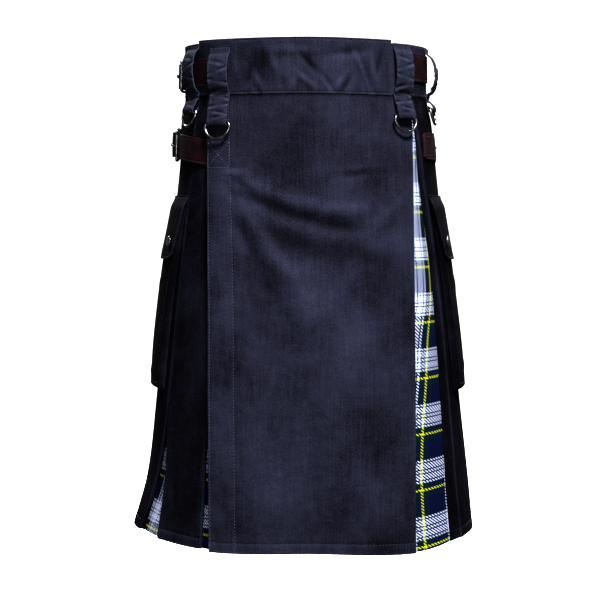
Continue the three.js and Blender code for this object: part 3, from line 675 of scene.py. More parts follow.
def build_panel(panel, material):
    girth, depth, drop = panel_grid(panel)
    flat = developed(girth, depth, drop)
    points = FORM.place(girth, depth, drop)
    start, end = edges_at(panel, drop)
    beside = np.minimum(np.abs(girth - start), np.abs(girth - end))
    hem = LENGTH - drop
    # The panel's base paleness: the low values of the side and pocket panels are painted shade.
    faded_and_shaded = PANEL_FADE_AND_PAINTED_SHADE.get(panel.name, BACK_WORN)
    wear = faded_and_shaded + 0.3 * np.exp(-beside / 1.6) + 0.2 * np.exp(-hem / 1.6)
    # Paler raised folds, with painted light on their upper sides and painted shade on their lower sides and
    # in their troughs.
    wear = wear + rubbed_and_painted_light(panel_relief(panel, girth, drop), drop)
    # Painted shadow: the panel darkened along its top, just below the waistband's seam.
    wear = wear - 0.4 * np.exp(-(drop - BAND_DEPTH) / 1.8)
    if panel.name == "apron":
        wear = wear + 0.09 * (1 - eased(girth - start, 30, 33)) * eased(drop, 150, 160)
        # Broad patches of painted shade and painted light on the apron.
        wear = wear + ridges(APRON_PAINTED_SHADING, girth, drop)
    mesh = laid_mesh(panel.name, points, flat, np.clip(wear, 0, 1))
    thing = piece(f"{panel.name}_cloth", mesh, material, [panel.name])
    thicken(thing, TWILL)


PLEAT_BEHIND = (TWILL + TARTAN) / 2 + SEAM + 0.3
SETT = 66  # the tartan's repeat
YELLOW_MIDDLE = 35  # from the start of the sett to the middle of its yellow band


def build_pleat(pleat, material):
    """A tartan pleat, behind the turned edge of each panel and across the gap between them."""
    leaves, arrives = PANEL[pleat.leaves], PANEL[pleat.arrives]
    rows = stations(BAND_DEPTH + SEAM / 2, LENGTH, 4.0, (LENGTH - HEM,))
    leave = edges_at(leaves, rows)[1]
    arrive = edges_at(arrives, rows)[0]
    arrive = np.where(arrive < leave, arrive + FORM.girth(rows), arrive)
    far_leave = leave - np.maximum(edge_at(leaves.turn_end, rows), 3) + 1
    far_arrive = arrive + np.maximum(edge_at(arrives.turn_start, rows), 3) - 1
    share = np.linspace(0, 1, 26)[None, :]
    girth = mix(far_leave[:, None], far_arrive[:, None], share)
    over = np.clip((girth - leave[:, None]) / (arrive - leave)[:, None], 0, 1)
    drop = np.broadcast_to(rows[:, None], girth.shape)
    hem = LENGTH - drop
    open_width = (arrive - leave)[:, None]
    belly = 0.9 * np.sin(np.pi * over) * np.clip(open_width / 40, 0, 1)
    depth = mix(leaves.sink[1], arrives.sink[0], over) + PLEAT + PLEAT_BEHIND - belly
    depth = depth - groove(hem - HEM, 0.25) * np.clip(open_width / 30, 0, 1)
    flat = np.stack([girth, -drop - pleat.raised], axis=-1) * MM
    stripe = leave[:, None] + along(YELLOW_DROPS, pleat.yellow, drop)
    flat[..., 0] = ((girth - stripe) / pleat.spread + YELLOW_MIDDLE) * MM
    points = FORM.place(girth, depth, drop)
    mesh = laid_mesh(pleat.name, points, flat)
    thing = piece(f"{pleat.name}_cloth", mesh, material, [pleat.name])
    thicken(thing, TARTAN)
    developed(girth, depth, drop)


BAND_ROWS = (2.6,)  # rows of stitches in from the waistband's top and bottom edges
Band = namedtuple("Band", "name start end top depth")
BANDS = [
    Band("waistband_front", SEAM_LEFT, SEAM_RIGHT, -STEP / 2, 0),
    Band("waistband_back", SEAM_RIGHT + SEAM, SEAM_LEFT + TUCKED, STEP / 2, 0),
    Band("waistband_under", SEAM_LEFT + TUCKED + SEAM, UNDER_BAND_END, STEP / 2, TUCK),
]
BAND_CREASES = {
    "waistband_front": [
        Fold(2, 36, 48, 20, 3.6, -1.7), Fold(9, 44, 52, 18, 3.4, 1.4), Fold(-8, 50, 40, 14, 3.4, 1.2),
        Fold(60, 34, 64, 22, 3.6, 1.6), Fold(66, 42, 68, 20, 3.4, -1.8), Fold(76, 40, 74, 20, 3.4, 1.5),
        Fold(84, 30, 100, 18, 3.4, -1.4), Fold(-46, 30, 70, 20, 4.4, 1.1),
        Fold(-74, 42, 108, 18, 4.4, -1.4), Fold(-64, 52, 66, 12, 3.4, 1.3),
        Fold(34, 52, 118, 10, 3.2, 1.2), Fold(42, 54, 112, 10, 3, -1.3),
        Fold(-34, 54, 84, 10, 3.2, -1.2), Fold(-22, 54, 96, 10, 3.2, 1.1), Fold(-92, 36, 80, 14, 3, 1.1),
        Fold(-30, 14, 4, 30, 5, 0.8), Fold(40, 16, -6, 30, 5, -0.8), Fold(20, 54, 60, 10, 3, -1.1),
    ],
    "waistband_back": [
        Fold(290, 36, 96, 22, 3.6, 1.2), Fold(352, 34, 60, 20, 3.4, -1.4), Fold(376, 44, 100, 16, 3, 1.1),
        Fold(402, 40, 124, 22, 3.6, 1.3), Fold(430, 26, 70, 16, 3.4, 1.0), Fold(450, 30, 54, 20, 3.4, -1.4),
        Fold(482, 46, 96, 14, 3, 1.1), Fold(516, 40, 120, 20, 3.4, 1.2), Fold(650, 38, 96, 18, 3.4, 0.6),
    ],
    "waistband_under": [Fold(-40, 36, 84, 20, 4, 0.4), Fold(30, 40, 96, 20, 4, -0.4)],
}


def clear_of_loops(band, girth, drop):
    """1 on the open waistband and 0 where a loop is sewn on it or a strap lies over it."""
    around = FORM.girth(BAND_DEPTH / 2)
    free = np.ones(np.broadcast(girth, drop).shape)
    for loop in LOOPS:
        place = loop.girth
        if band.name == "waistband_back" and place < 0:
            place += around
        free = free * eased(np.abs(girth - place), LOOP_WIDTH / 2 + 0.5, LOOP_WIDTH / 2 + 6)
    if band.name == "waistband_back":
        for strap in STRAPS[:2]:
            place = strap.root - 4 if strap.side > 0 else around - strap.root + 4
            beyond = strap.side * (girth - place)
            free = free * (1 - eased(beyond, -3, 3) * (1 - eased(beyond, 210, 216)))
    return free


def band_bottom():
    return BAND_DEPTH - SEAM / 2


def band_relief(band, girth, drop):
    top = drop - band.top
    bottom = band_bottom() - drop
    relief = ridges(BAND_CREASES[band.name], girth, drop)
    for row in BAND_ROWS:
        relief = relief + groove(top - row, 0.25) + groove(bottom - row, 0.25)
    relief = relief + pucker(girth, bottom, 0.32, 9) + pucker(girth + 23, top, 0.1, 8)
    return relief * clear_of_loops(band, girth, drop)


def band_end(band, drop):
    return np.where(band.end < band.start, band.end + FORM.girth(drop), band.end)


def band_at(band, girth, drop, lift=0):
    """A point of a waistband, a lift in front of its middle layer. It tucks under the front one."""
    left = band_end(band, drop) - girth
    tuck = 0
    if band.name == "waistband_back":
        tuck = TUCK * (1 - eased(left, TUCKED + 1, TUCKED + 18))
    open_cloth = 1
    if band.name == "waistband_back":
        open_cloth = eased(left, TUCKED, TUCKED + 12)
    if band.name == "waistband_under":
        open_cloth = 0.2
    relief = band_relief(band, girth, drop) * open_cloth
    return FORM.place(girth, band.depth + tuck - relief - lift, drop)


def build_band(band, material):
    bottom = band_bottom()
    lines = [band.top + row for row in BAND_ROWS] + [bottom - row for row in BAND_ROWS]
    rows = stations(band.top, bottom, 2.6, lines)
    last = float(band_end(band, BAND_DEPTH / 2))
    share = stations(band.start, last, 2.8)
    share = (share - band.start) / (last - band.start)
    end = band_end(band, rows)
    girth = band.start + (end - band.start)[:, None] * share[None, :]
    drop = np.broadcast_to(rows[:, None], girth.shape)
    points = band_at(band, girth, drop)
    flat = flat_grid(girth, -drop)
    faded_and_shaded = BACK_WORN + 0.1 if band.name == "waistband_back" else APRON_WORN
    # Edges worn paler, and painted light on the creases' upper sides with painted shade below them, made
    # stronger on the band.
    wear = edge_wear(points, faded_and_shaded, 0.25) + 1.6 * rubbed_and_painted_light(band_relief(band, girth, drop), drop)
    # Painted shadow: the band darkened along its bottom edge, a dark line at the seam.
    wear = wear - 0.45 * np.exp(-(bottom - drop) / 1.3)
    # Broad patches of painted shade and painted light on the waistband.
    wear = wear + ridges(BAND_PAINTED_SHADING, girth, drop)
    mesh = laid_mesh(band.name, points, flat, wear)
    thing = piece(f"{band.name}_cloth", mesh, material, [band.name])
    thicken(thing, BAND, 0.5)


BAR_DEPTH = -(TWILL / 2 + 2 * SEAM + LOOP + RING_WIRE + RING_SLACK)
BAR_RADIUS = RING_WIRE + RING_SLACK + LOOP / 2
LOOP_ROW = 3.2  # a loop's rows of stitches, in from its edges


def loop_path(loop):
    """A loop's path down from its sewn top, off the waistband, back to its seam and round the bar."""
    sewn = -(BAND / 2 + SEAM + LOOP / 2)
    free = loop.top + 6
    foot = BAND_DEPTH - 3
    path = [(loop.top, sewn), (free, sewn)]
    for share in (0.1, 0.3, 0.5, 0.7, 0.88):
        lift = loop.bulge * math.sin(math.pi * share) ** 0.6
        path.append((mix(free, foot, share), sewn - lift))
    path += [(foot, sewn - 0.2), (foot + 5, sewn - 0.4)]
    if not loop.bar:
        return path
    front = BAR_DEPTH - BAR_RADIUS
    path += [(mix(foot, loop.bar, 0.6), mix(sewn, front, 0.7)), (loop.bar - 3, front + 0.1)]
    for turn in np.radians([0, 45, 90, 135, 180]):
        path.append((loop.bar + BAR_RADIUS * math.sin(turn), BAR_DEPTH - BAR_RADIUS * math.cos(turn)))
    return [*path, (loop.bar - 5, BAR_DEPTH + BAR_RADIUS)]


class Ribbon:
    """A band with straight lines across it, read by its offset from the middle and its run."""

    def __init__(self, middle, across):
        self.middle = middle
        self.across = across
        tangent = unit(np.gradient(middle, axis=0))
        self.out = unit(np.cross(tangent, across))
        self.run = running(np.linalg.norm(np.diff(middle, axis=0), axis=-1))

    def at(self, offset, run, lift=0):
        offset, run, lift = np.broadcast_arrays(offset, run, lift)
        read = lambda table: np.stack([np.interp(run, self.run, table[:, k]) for k in range(3)], axis=-1)
        point = read(self.middle) + self.across * offset[..., None]
        return point + unit(read(self.out)) * lift[..., None]


def loop_ribbon(loop):
    path = smooth_path(loop_path(loop), 1.3)
    drops, depths = path.T
    across, out, up = FORM.axes(loop.girth, loop.bar or BAND_DEPTH)
    middle = FORM.place(loop.girth, depths, drops)
    if loop.bar:
        bar = FORM.place(loop.girth, BAR_DEPTH, loop.bar)
        on_bar = bar + up * (loop.bar - drops)[:, None] + out * (BAR_DEPTH - depths)[:, None]
        held = eased(drops, loop.bar - 14, loop.bar - 6)[:, None]
        middle = mix(middle, on_bar, held)
    return Ribbon(middle, across)


# Creases across a loop: how far down it, how far it slants from one edge to the other, and its depth.
LoopCrease = namedtuple("LoopCrease", "run slant depth")
LOOP_CREASES = [
    LoopCrease(19, 3, 0.7), LoopCrease(29, -4, 1.0), LoopCrease(41, 3, 0.9), LoopCrease(52, -3, 1.2),
    LoopCrease(60, 4, 0.9), LoopCrease(72, -2, 1.3), LoopCrease(81, 3, 1.0), LoopCrease(88, -2, 0.8),
]


def loop_relief(offset, run, length):
    """How far a loop's cloth stands out, least where it is sewn down."""
    half = LOOP_WIDTH / 2
    edge = half - np.abs(offset)
    relief = 0.2 * (1 - (offset / half) ** 2) + groove(edge - LOOP_ROW, 0.15)
    for crease in LOOP_CREASES:
        beyond = run - crease.run - crease.slant * offset / half
        dip = np.exp(-((beyond / 1.7) ** 2)) - 0.55 * np.exp(-(((beyond - 4) / 2.4) ** 2))
        relief = relief - crease.depth * dip * (0.55 + 0.45 * np.cos(offset / 5 + crease.run))
    return relief * (eased(length - run, 16, 24) * eased(run, 7, 12))


def build_loop(loop, material):
    ribbon = loop_ribbon(loop)
    length = ribbon.run[-1]
    half = LOOP_WIDTH / 2
    offsets = stations(-half, half, 2.2, (LOOP_ROW - half, half - LOOP_ROW))
    run = stations(0, length, 1.5)[:, None]
    relief = loop_relief(offsets[None, :], run, length)
    points = ribbon.at(offsets[None, :], run, relief)
    flat = flat_grid(offsets[None, :], -run)
    down = np.broadcast_to(run, relief.shape)
    # Edges worn paler, and painted light and painted shade on the loop's creases.
    wear = edge_wear(points, APRON_WORN, 0.35) + 1.2 * rubbed_and_painted_light(relief, down)
    mesh = laid_mesh(loop.name, points, flat, wear)
    thing = piece(f"{loop.name}_cloth", mesh, material, [loop.name])
    thicken(thing, LOOP, 0.35)
    held_by("front" in loop.name)


def face_outwards(mesh, merge=0):
    """Turns a mesh's faces outwards, after merging its doubles where a distance is given."""
    bm = bmesh.new()
    bm.from_mesh(mesh)
    if merge:
        bmesh.ops.remove_doubles(bm, verts=bm.verts, dist=merge)
    bmesh.ops.recalc_face_normals(bm, faces=bm.faces)
    bm.to_mesh(mesh)
    bm.free()


def tube_mesh(name, centre, side, radius, around=12):
    """A closed tube round a closed line, where side is the direction that its plane faces."""
    after = np.roll(centre, -1, axis=0) - np.roll(centre, 1, axis=0)
    tangent = unit(after)
    first = unit(np.cross(tangent, side))
    second = np.cross(first, tangent)
    closed = np.arange(len(centre) + 1) % len(centre)
    turn = np.linspace(0, 2 * np.pi, around + 1)[:, None, None]
    points = centre[closed] + radius * (np.cos(turn) * first[closed] + np.sin(turn) * second[closed])
    steps = np.linalg.norm(after, axis=-1).mean() / 2
    run, turned = np.meshgrid(np.arange(len(closed)) * steps, np.arange(around + 1) * radius / 2)
    mesh = laid_mesh(name, points, np.stack([run, turned], axis=-1) * MM)
    face_outwards(mesh, 1e-6)
    return mesh


def ring_outline():
    """A D-ring's outline across its bar and down, with the straight bar on top."""
    half = LOOP_WIDTH / 2 + RING_WIRE + 1.9
    height = 18.5
    points = [(half * share, 0, 0) for share in (-0.86, -0.5, 0, 0.5, 0.86)]
    for turn in np.radians([12, 38, 64, 90, 116, 142, 168]):
        points.append((half * math.cos(turn), 0, -height * math.sin(turn) ** 0.9))
    return closed_curve(np.array([points]), 72)[0][0]


def build_ring(loop, material):
    name = loop.name.replace("loop", "ring")
    across, out, up = FORM.axes(loop.girth, loop.bar)
    bar = FORM.place(loop.girth, BAR_DEPTH, loop.bar)
    outline = ring_outline()
    centre = bar + outline[:, :1] * across + outline[:, 2:] * up
    mesh = tube_mesh(name, centre, out, RING_WIRE)
    piece(f"{name}_metal", mesh, material, [name], body=name)


def layers(strap):
    """Depths of a fastened strap's layers: on the cloth, the chape, the bars and the strap over it."""
    cloth = -strap.wall / 2 - SEAM - 0.15
    heel_radius = BUCKLE_WIRE + 0.6 + CHAPE / 2
    flat = cloth - LEATHER / 2
    under = cloth - CHAPE / 2 - 0.1
    heel = under - heel_radius
    outer = heel - heel_radius
    over = outer - (CHAPE + LEATHER) / 2 - SEAM - 0.4
    far = flat - LEATHER / 2 - SEAM - BUCKLE_WIRE - 0.4
    return {
        "flat": flat, "under": under, "heel": heel, "outer": outer, "over": over, "far": far,
        "radius": heel_radius,
    }


def on_strap(strap, distance, depth, offset):
    """A place on a strap: distance from the front's middle, depth, and height below its middle."""
    slope = (strap.heel_drop - strap.drop) / (strap.heel - strap.root)
    drop = strap.drop + slope * (distance - strap.root) + offset
    return FORM.place(strap.side * (distance - slope * offset), depth, drop)


def buckle_axes(strap):
    """A buckle's axes from the middle of its heel bar: to its far bar, outwards and up the bar."""
    heel = layers(strap)["heel"]
    half = BUCKLE_WIDTH / 3
    rear = on_strap(strap, strap.heel, heel, 0)
    rise = on_strap(strap, strap.heel, heel, -half) - on_strap(strap, strap.heel, heel, half)
    forward = unit(on_strap(strap, strap.heel - BUCKLE_LENGTH, heel, 0) - rear)
    out = unit(np.cross(rise, forward) * strap.side)
    return rear, forward, out, np.cross(forward, out) * strap.side


def strap_path(strap):
    depth = layers(strap)
    flat, over = depth["flat"], depth["over"]
    far = strap.heel - BUCKLE_LENGTH
    path = [(strap.root, flat, 0.86), (strap.root + 3, flat, 1)]
    if strap.inside:
        inside = TWILL / 2 + SEAM + LEATHER / 2 + 0.8
        path = [(strap.root, inside, 1), (131, inside, 1), (157, flat - 0.7, 1)]
    return [
        *path, (far + 4, flat, 1), (far + 9, mix(flat, over, 0.25), 1),
        (strap.heel - 9, over + 0.8, 1), (strap.heel - 3, over, 1), (strap.heel + 14, over, 1),
        (strap.heel + 34, over + 0.6, 1), (strap.heel + 46, over + 0.9, 0.9),
        (strap.heel + 52, over + 1, 0.45),
    ]


def chape_path(strap):
    """The chape's path round the heel bar: distance, depth, and whether it is laid out from the bar."""
    depth = layers(strap)
    radius = depth["radius"]
    path = [(strap.heel + 11, depth["under"], 0), (strap.heel, depth["under"], 1)]
    for turn in np.radians([45, 90, 135]):
        path.append((strap.heel - radius * math.sin(turn), depth["heel"] + radius * math.cos(turn), 1))
    return [
        *path, (strap.heel, depth["outer"], 1), (strap.heel + 9, depth["outer"] + 0.2, 0),
        (strap.heel + 21, depth["flat"] + 0.4, 0), (strap.heel + 42, depth["flat"] + 0.4, 0),
    ]


STRAP_LINE = 2.4  # the pressed line inside each edge of a strap


def strap_relief(offset):
    """A strap's slight crown, with a pressed line inside each edge."""
    half = STRAP_WIDTH / 2
    edge = half - np.abs(offset)
    return 0.18 * (1 - (offset / half) ** 2) + groove(edge - STRAP_LINE, 0.3, 0.7)


def leather_piece(name, points, flat, thickness, edge, material):
    mesh = laid_mesh(name, points, flat, edge_wear(points))
    face_outwards(mesh)
    thicken(piece(f"{name}_leather", mesh, material, [name]), thickness, edge)


def build_strap(strap, material):
    path = smooth_path(strap_path(strap), 2.2)
    half = STRAP_WIDTH / 2
    offsets = stations(-half, half, 2.6, (STRAP_LINE - half, half - STRAP_LINE))[None, :]
    distance, depth, narrow = (column[:, None] for column in path.T)
    points = on_strap(strap, distance, depth - strap_relief(offsets), offsets * narrow * strap.side)
    flat = flat_grid(distance, offsets)
    leather_piece(f"strap_{strap.name}", points, flat, LEATHER, 0.6, material)


def build_chape(strap, material):
    path = smooth_path(chape_path(strap), 1.1)
    rear, forward, out, up = buckle_axes(strap)
    heel = layers(strap)["heel"]
    half = CHAPE_WIDTH / 2
    offsets = stations(-half, half, 2.4)
    distance, depth, held = (column[:, None] for column in path.T)
    across = offsets[None, :] * strap.side
    on_cloth = on_strap(strap, distance, depth, across)
    on_bar = (
        rear + forward * (strap.heel - distance)[..., None] + out * (heel - depth)[..., None]
        - up * across[..., None]
    )
    points = mix(on_cloth, on_bar, np.clip(held, 0, 1)[..., None])
    run = running(np.hypot(np.diff(path[:, 0]), np.diff(path[:, 1])))
    flat = flat_grid(run[:, None], offsets[None, :])
    leather_piece(f"chape_{strap.name}", points, flat, CHAPE, 0.45, material)


def build_keeper(strap, material):
    """The leather band over the strap that holds its tip down on the chape."""
    depth = layers(strap)
    low = depth["flat"] + LEATHER / 2 - 0.7
    high = depth["over"] - LEATHER / 2 - SEAM - 0.4
    half = STRAP_WIDTH / 2 + 1.6
    ring = [
        (-half, low), (-half - 0.6, mix(low, high, 0.5)), (-half, high), (0, high - 0.6), (half, high),
        (half + 0.6, mix(low, high, 0.5)), (half, low),
    ]
    path = smooth_path(ring, 1.2)
    along_strap = stations(-4.5, 4.5, 1.8)
    crown = 0.25 * (1 - (along_strap / 4.5) ** 2)
    points = on_strap(
        strap,
        strap.heel + 26 + along_strap[None, :],
        path[:, 1][:, None] - crown[None, :],
        -strap.side * path[:, 0][:, None],
    )
    flat = flat_grid(path[:, 0][:, None], along_strap[None, :])
    leather_piece(f"keeper_{strap.name}", points, flat, 1, 0.25, material)


def build_buckle(strap, material):
    depth = layers(strap)
    half = BUCKLE_WIDTH / 2
    rise = depth["heel"] - depth["far"]
    outline = [
        (0, -half * 0.7, 0), (0, 0, 0), (0, half * 0.7, 0), (0.1, half, 0.02),
        (0.5, half * 1.04, 0.4), (0.9, half, 0.9), (1, half * 0.7, 1), (1, 0, 1), (1, -half * 0.7, 1),
        (0.9, -half, 0.9), (0.5, -half * 1.04, 0.4), (0.1, -half, 0.02),
    ]
    rear, forward, out, _ = buckle_axes(strap)
    across = np.cross(forward, out)
    line = closed_curve(np.array([outline]), 88)[0][0]
    centre = (
        rear + forward * line[:, :1] * BUCKLE_LENGTH + out * line[:, 2:] * rise + across * line[:, 1:2]
    )
    mesh = tube_mesh(f"buckle_{strap.name}", centre, out, BUCKLE_WIRE)
    piece(f"buckle_{strap.name}_metal", mesh, material, [f"buckle_{strap.name}"])


def build_prong(strap, material):
    """The prong lies over the strap, from above the heel bar to the far bar."""
    depth = layers(strap)
    thick = 1.5
    high = depth["over"] - LEATHER / 2 - SEAM - thick / 2 - 0.5
    low = depth["far"] - BUCKLE_WIRE - SEAM - thick / 2 - 0.4
    end = BUCKLE_LENGTH + 2.2
    path = smooth_path(
        [(-5, high), (4, high), (BUCKLE_LENGTH * 0.55, mix(high, low, 0.4)), (end, low)], 1.5
    )
    across = np.linspace(-1.4, 1.4, 5)
    tip = 1 - 0.35 * eased(path[:, 0], BUCKLE_LENGTH - 4, end)
    points = on_strap(
        strap,
        strap.heel - path[:, 0][:, None],
        path[:, 1][:, None],
        -strap.side * across[None, :] * tip[:, None],
    )
    flat = flat_grid(path[:, 0][:, None], across[None, :])
    name = f"prong_{strap.name}"
    mesh = laid_mesh(name, points, flat)
    face_outwards(mesh)
    thicken(piece(f"{name}_metal", mesh, material, [name]), thick, 0.45)


def pocket_middle(panel, drop):
    start, end = edges_at(panel, drop)
    return (start + end) / 2


def bag_depth(drop):
    return POCKET.depth * along(BAG_DROPS, BAG_SHARES, np.clip(drop, POCKET.mouth, POCKET.bottom))


BAG_ROW = 8  # a bag's rows of stitches, in from its sides and foot
FLAP_ROW = 3  # a flap's rows of stitches, in from its edges
FLAP_HEIGHT = POCKET.flap_bottom - POCKET.flap_top
BAG_CREASES = [
    Fold(-34, 290, 30, 26, 6, 0.9), Fold(40, 284, 150, 26, 6, 0.9), Fold(-50, 350, 76, 34, 6, -0.9),
    Fold(46, 360, 104, 34, 6, -0.9), Fold(0, 330, 88, 40, 9, 0.8), Fold(-22, 396, 14, 24, 5, 0.9),
    Fold(26, 404, 168, 24, 5, 0.8), Fold(14, 300, 120, 24, 6, -0.7),
]


def bag_out(inset):
    """How far the bag's gusset has risen at a distance in from its edge, as a share."""
    return 1 - (1 - np.clip(inset / 5, 0, 1)) ** 2.6


def bag_at(panel, offset, drop, lift=0):
    """A point of a pocket's bag, a lift in front of its middle layer."""
    half = POCKET.width / 2
    edge = half - np.abs(offset)
    foot = POCKET.bottom - drop
    wide = bag_out(edge) * (1 + 0.1 * np.cos(offset / 45) * eased(edge, 2, 16))
    tall = bag_out(foot)
    below = eased(drop, POCKET.flap_bottom, POCKET.flap_bottom + 24)
    creases = ridges(BAG_CREASES, offset, drop) * (eased(edge, 6, 20) * eased(foot, 6, 16) * below)
    row = groove(edge - BAG_ROW, 0.3) * eased(foot, 6, 9) + groove(foot - BAG_ROW, 0.3) * eased(edge, 6, 9)
    depth = -(TWILL + SEAM) - bag_depth(drop) * wide * tall - creases - row - lift
    return FORM.place(pocket_middle(panel, drop) + offset, depth, drop)


def bag_cut(rows):
    """A bag's flat cut from its named sizes: the face, with its side and foot walls turned out flat."""
    wall = bag_depth(rows)
    half = POCKET.width / 2 + np.append(wall, 0)
    down = np.append(rows, POCKET.bottom + wall[-1])
    return flat_grid(np.stack([-half, half], axis=1), -down[:, None])


def build_bag(side, panel, material):
    half = POCKET.width / 2
    lines = (1, 2, 3.2, BAG_ROW)
    places = [row for inset in lines for row in (inset - half, half - inset)]
    offsets = stations(-half, half, 3.2, places)
    rows = stations(POCKET.mouth, POCKET.bottom, 3.4, [POCKET.bottom - inset for inset in lines])
    offset, drop = np.meshgrid(offsets, rows)
    points = bag_at(panel, offset, drop)
    # The bag's base paleness is painted shade, keeping it dark.
    wear = edge_wear(points, POCKET_FADE_AND_PAINTED_SHADE, 0.2)
    mesh = laid_mesh(f"pocket_{side}", points, flat_grid(offset, -drop), wear)
    thing = piece(f"pocket_{side}_cloth", mesh, material, [f"pocket_{side}"])
    thicken(thing, TWILL)
    bag_cut(rows)


def flap_depth(drop):
    """A flap's depth: sewn to the panel at its top, then lying on the bag."""
    sewn = TWILL / 2 + SEAM + LOOP / 2 + 0.5
    on_bag = TWILL + SEAM + bag_depth(drop) * 1.1 + TWILL / 2 + SEAM + LOOP / 2 + 0.3
    share = (drop - POCKET.flap_top) / FLAP_HEIGHT
    return -mix(sewn, on_bag, eased(share, 0.02, 0.2)) - 1.2 * np.clip(share, 0, 1) ** 3


def flap_at(panel, across, share, lift=0):
    """A point of a flap, from its share across and its share down."""
    half = POCKET.width / 2 + mix(4, -1, share)
    rounded = np.clip((np.abs(across) - 0.8) / 0.2, 0, 1) ** 2
    drop = mix(POCKET.flap_top, POCKET.flap_bottom, share) - 6 * share * rounded
    edge = np.minimum((1 - np.abs(across)) * half, (1 - share) * FLAP_HEIGHT)
    relief = groove(edge - FLAP_ROW, 0.25) + groove(share * FLAP_HEIGHT - FLAP_ROW, 0.25)
    relief = relief + 0.5 * np.sin(across * 5.2 + 0.6) * share**2 * eased(edge, 2, 10)
    relief = relief + 0.45 * np.exp(-(((np.abs(across) - 0.74) / 0.1) ** 2)) * -eased(share, 0.6, 0.72)
    return FORM.place(pocket_middle(panel, drop) + across * half, flap_depth(drop) - relief - lift, drop)


def build_flap(side, panel, material):
    half = POCKET.width / 2 + 2
    across = stations(-half, half, 3.2, (FLAP_ROW - half, half - FLAP_ROW)) / half
    share = stations(0, FLAP_HEIGHT, 3.0, (FLAP_ROW, FLAP_HEIGHT - FLAP_ROW)) / FLAP_HEIGHT
    across, share = np.meshgrid(across, share)
    points = flap_at(panel, across, share)
    flat = flat_grid(across * half, -share * FLAP_HEIGHT)
    # The flap's paleness is painted shade, keeping it dark, with its edges only a little paler.
    mesh = laid_mesh(f"flap_{side}", points, flat, edge_wear(points, POCKET_FADE_AND_PAINTED_SHADE, 0.2))
    thing = piece(f"flap_{side}_cloth", mesh, material, [f"flap_{side}"])
    thicken(thing, LOOP, 0.35)


SNAP_RADIUS = 6.5


def build_snap(name, panel, offset, material):
    """A snap's domed cap with a pressed ring round its middle, spun about its axis."""
    profile = [
        (0, 1.75), (0.3, 1.7), (0.42, 1.62), (0.5, 1.85), (0.62, 2.0), (0.78, 1.75), (0.92, 1.1),
        (1, 0.6), (1, 0.15), (0.96, 0), (0, 0),
    ]
    drop = POCKET.snap_drop
    girth = float(pocket_middle(panel, drop)) + offset
    across, out, up = FORM.axes(girth, drop)
    seat = FORM.place(girth, flap_depth(drop) - LOOP / 2 - 0.7, drop)
    bm = bmesh.new()
    line = [bm.verts.new((radius * SNAP_RADIUS, 0, height)) for radius, height in profile]
    for first, second in zip(line, line[1:]):
        bm.edges.new((first, second))
    bmesh.ops.spin(
        bm, geom=[*bm.verts, *bm.edges], cent=(0, 0, 0), axis=(0, 0, 1), angle=2 * math.pi, steps=28,
        use_merge=True,
    )
    bmesh.ops.remove_doubles(bm, verts=bm.verts, dist=0.01)
    bmesh.ops.recalc_face_normals(bm, faces=bm.faces)
    axes = Matrix([(*(across * MM), 0), (*(up * MM), 0), (*(out * MM), 0), (0, 0, 0, 1)]).transposed()
    bm.transform(Matrix.Translation(Vector(seat * MM)) @ axes)
    bmesh.ops.recalc_face_normals(bm, faces=bm.faces)
    mesh = bpy.data.meshes.new(name)
    bm.to_mesh(mesh)
    bm.free()
    mesh.polygons.foreach_set("use_smooth", np.ones(len(mesh.polygons), bool))
    piece(f"{name}_metal", mesh, material, [name])


STITCH = 2.4  # length of a stitch
PITCH = 4.0  # from one stitch to the next
THREAD_RISE = 0.12  # from the cloth's face up to the middle of a stitch


def seam_mesh(name, surface, path, lift, stitch=STITCH, pitch=PITCH):
    """Stitches along a path of places on a surface, each a small long bead."""
    path = np.asarray(path, float)
    reach = 0.6
    line = surface(path[:, 0], path[:, 1], lift)
    run = running(np.linalg.norm(np.diff(line, axis=0), axis=-1))
    count = max(1, int(run[-1] // pitch))
    wanted = (np.arange(count) + 0.5) * run[-1] / count
    a, b = (np.interp(wanted, run, path[:, k]) for k in range(2))
    centre = surface(a, b, lift)
    ahead = [np.interp(wanted + reach, run, path[:, k]) for k in range(2)]
    behind = [np.interp(wanted - reach, run, path[:, k]) for k in range(2)]
    forward = unit(surface(*ahead, lift) - surface(*behind, lift))
    out = unit(surface(a, b, lift + 1) - surface(a, b, lift - 1))
    side = unit(np.cross(out, forward))
    out = np.cross(forward, side)
    bm = bmesh.new()
    for k in range(count):
        columns = [
            (*(forward[k] * stitch / 2 * MM), 0), (*(side[k] * 0.42 * MM), 0),
            (*(out[k] * 0.3 * MM), 0), (*(centre[k] * MM), 1),
        ]
        bmesh.ops.create_icosphere(bm, subdivisions=1, radius=1, matrix=Matrix(columns).transposed())
    mesh = bpy.data.meshes.new(name)
    bm.to_mesh(mesh)
    bm.free()
    return mesh


def thread_piece(name, meshes, material):
    """One object of all the stitches of a seam."""
    bm = bmesh.new()
    for mesh in meshes:
        bm.from_mesh(mesh)
        bpy.data.meshes.remove(mesh)
    mesh = bpy.data.meshes.new(name)
    bm.to_mesh(mesh)
    bm.free()
    mesh.polygons.foreach_set("use_smooth", np.ones(len(mesh.polygons), bool))
    piece(name, mesh, material, [])


def straight(start, end, step=6):
    """A straight path between two places on a surface."""
    start, end = np.asarray(start, float), np.asarray(end, float)
    count = max(2, math.ceil(np.linalg.norm(end - start) / step) + 1)
    return start + (end - start) * np.linspace(0, 1, count)[:, None]


def stitched(name, surface, corners, lift, *sizes, step=6):
    """A row of stitches from each corner to the next."""
    return [
        seam_mesh(name, surface, straight(first, second, step), lift, *sizes)
        for first, second in zip(corners, corners[1:])
    ]


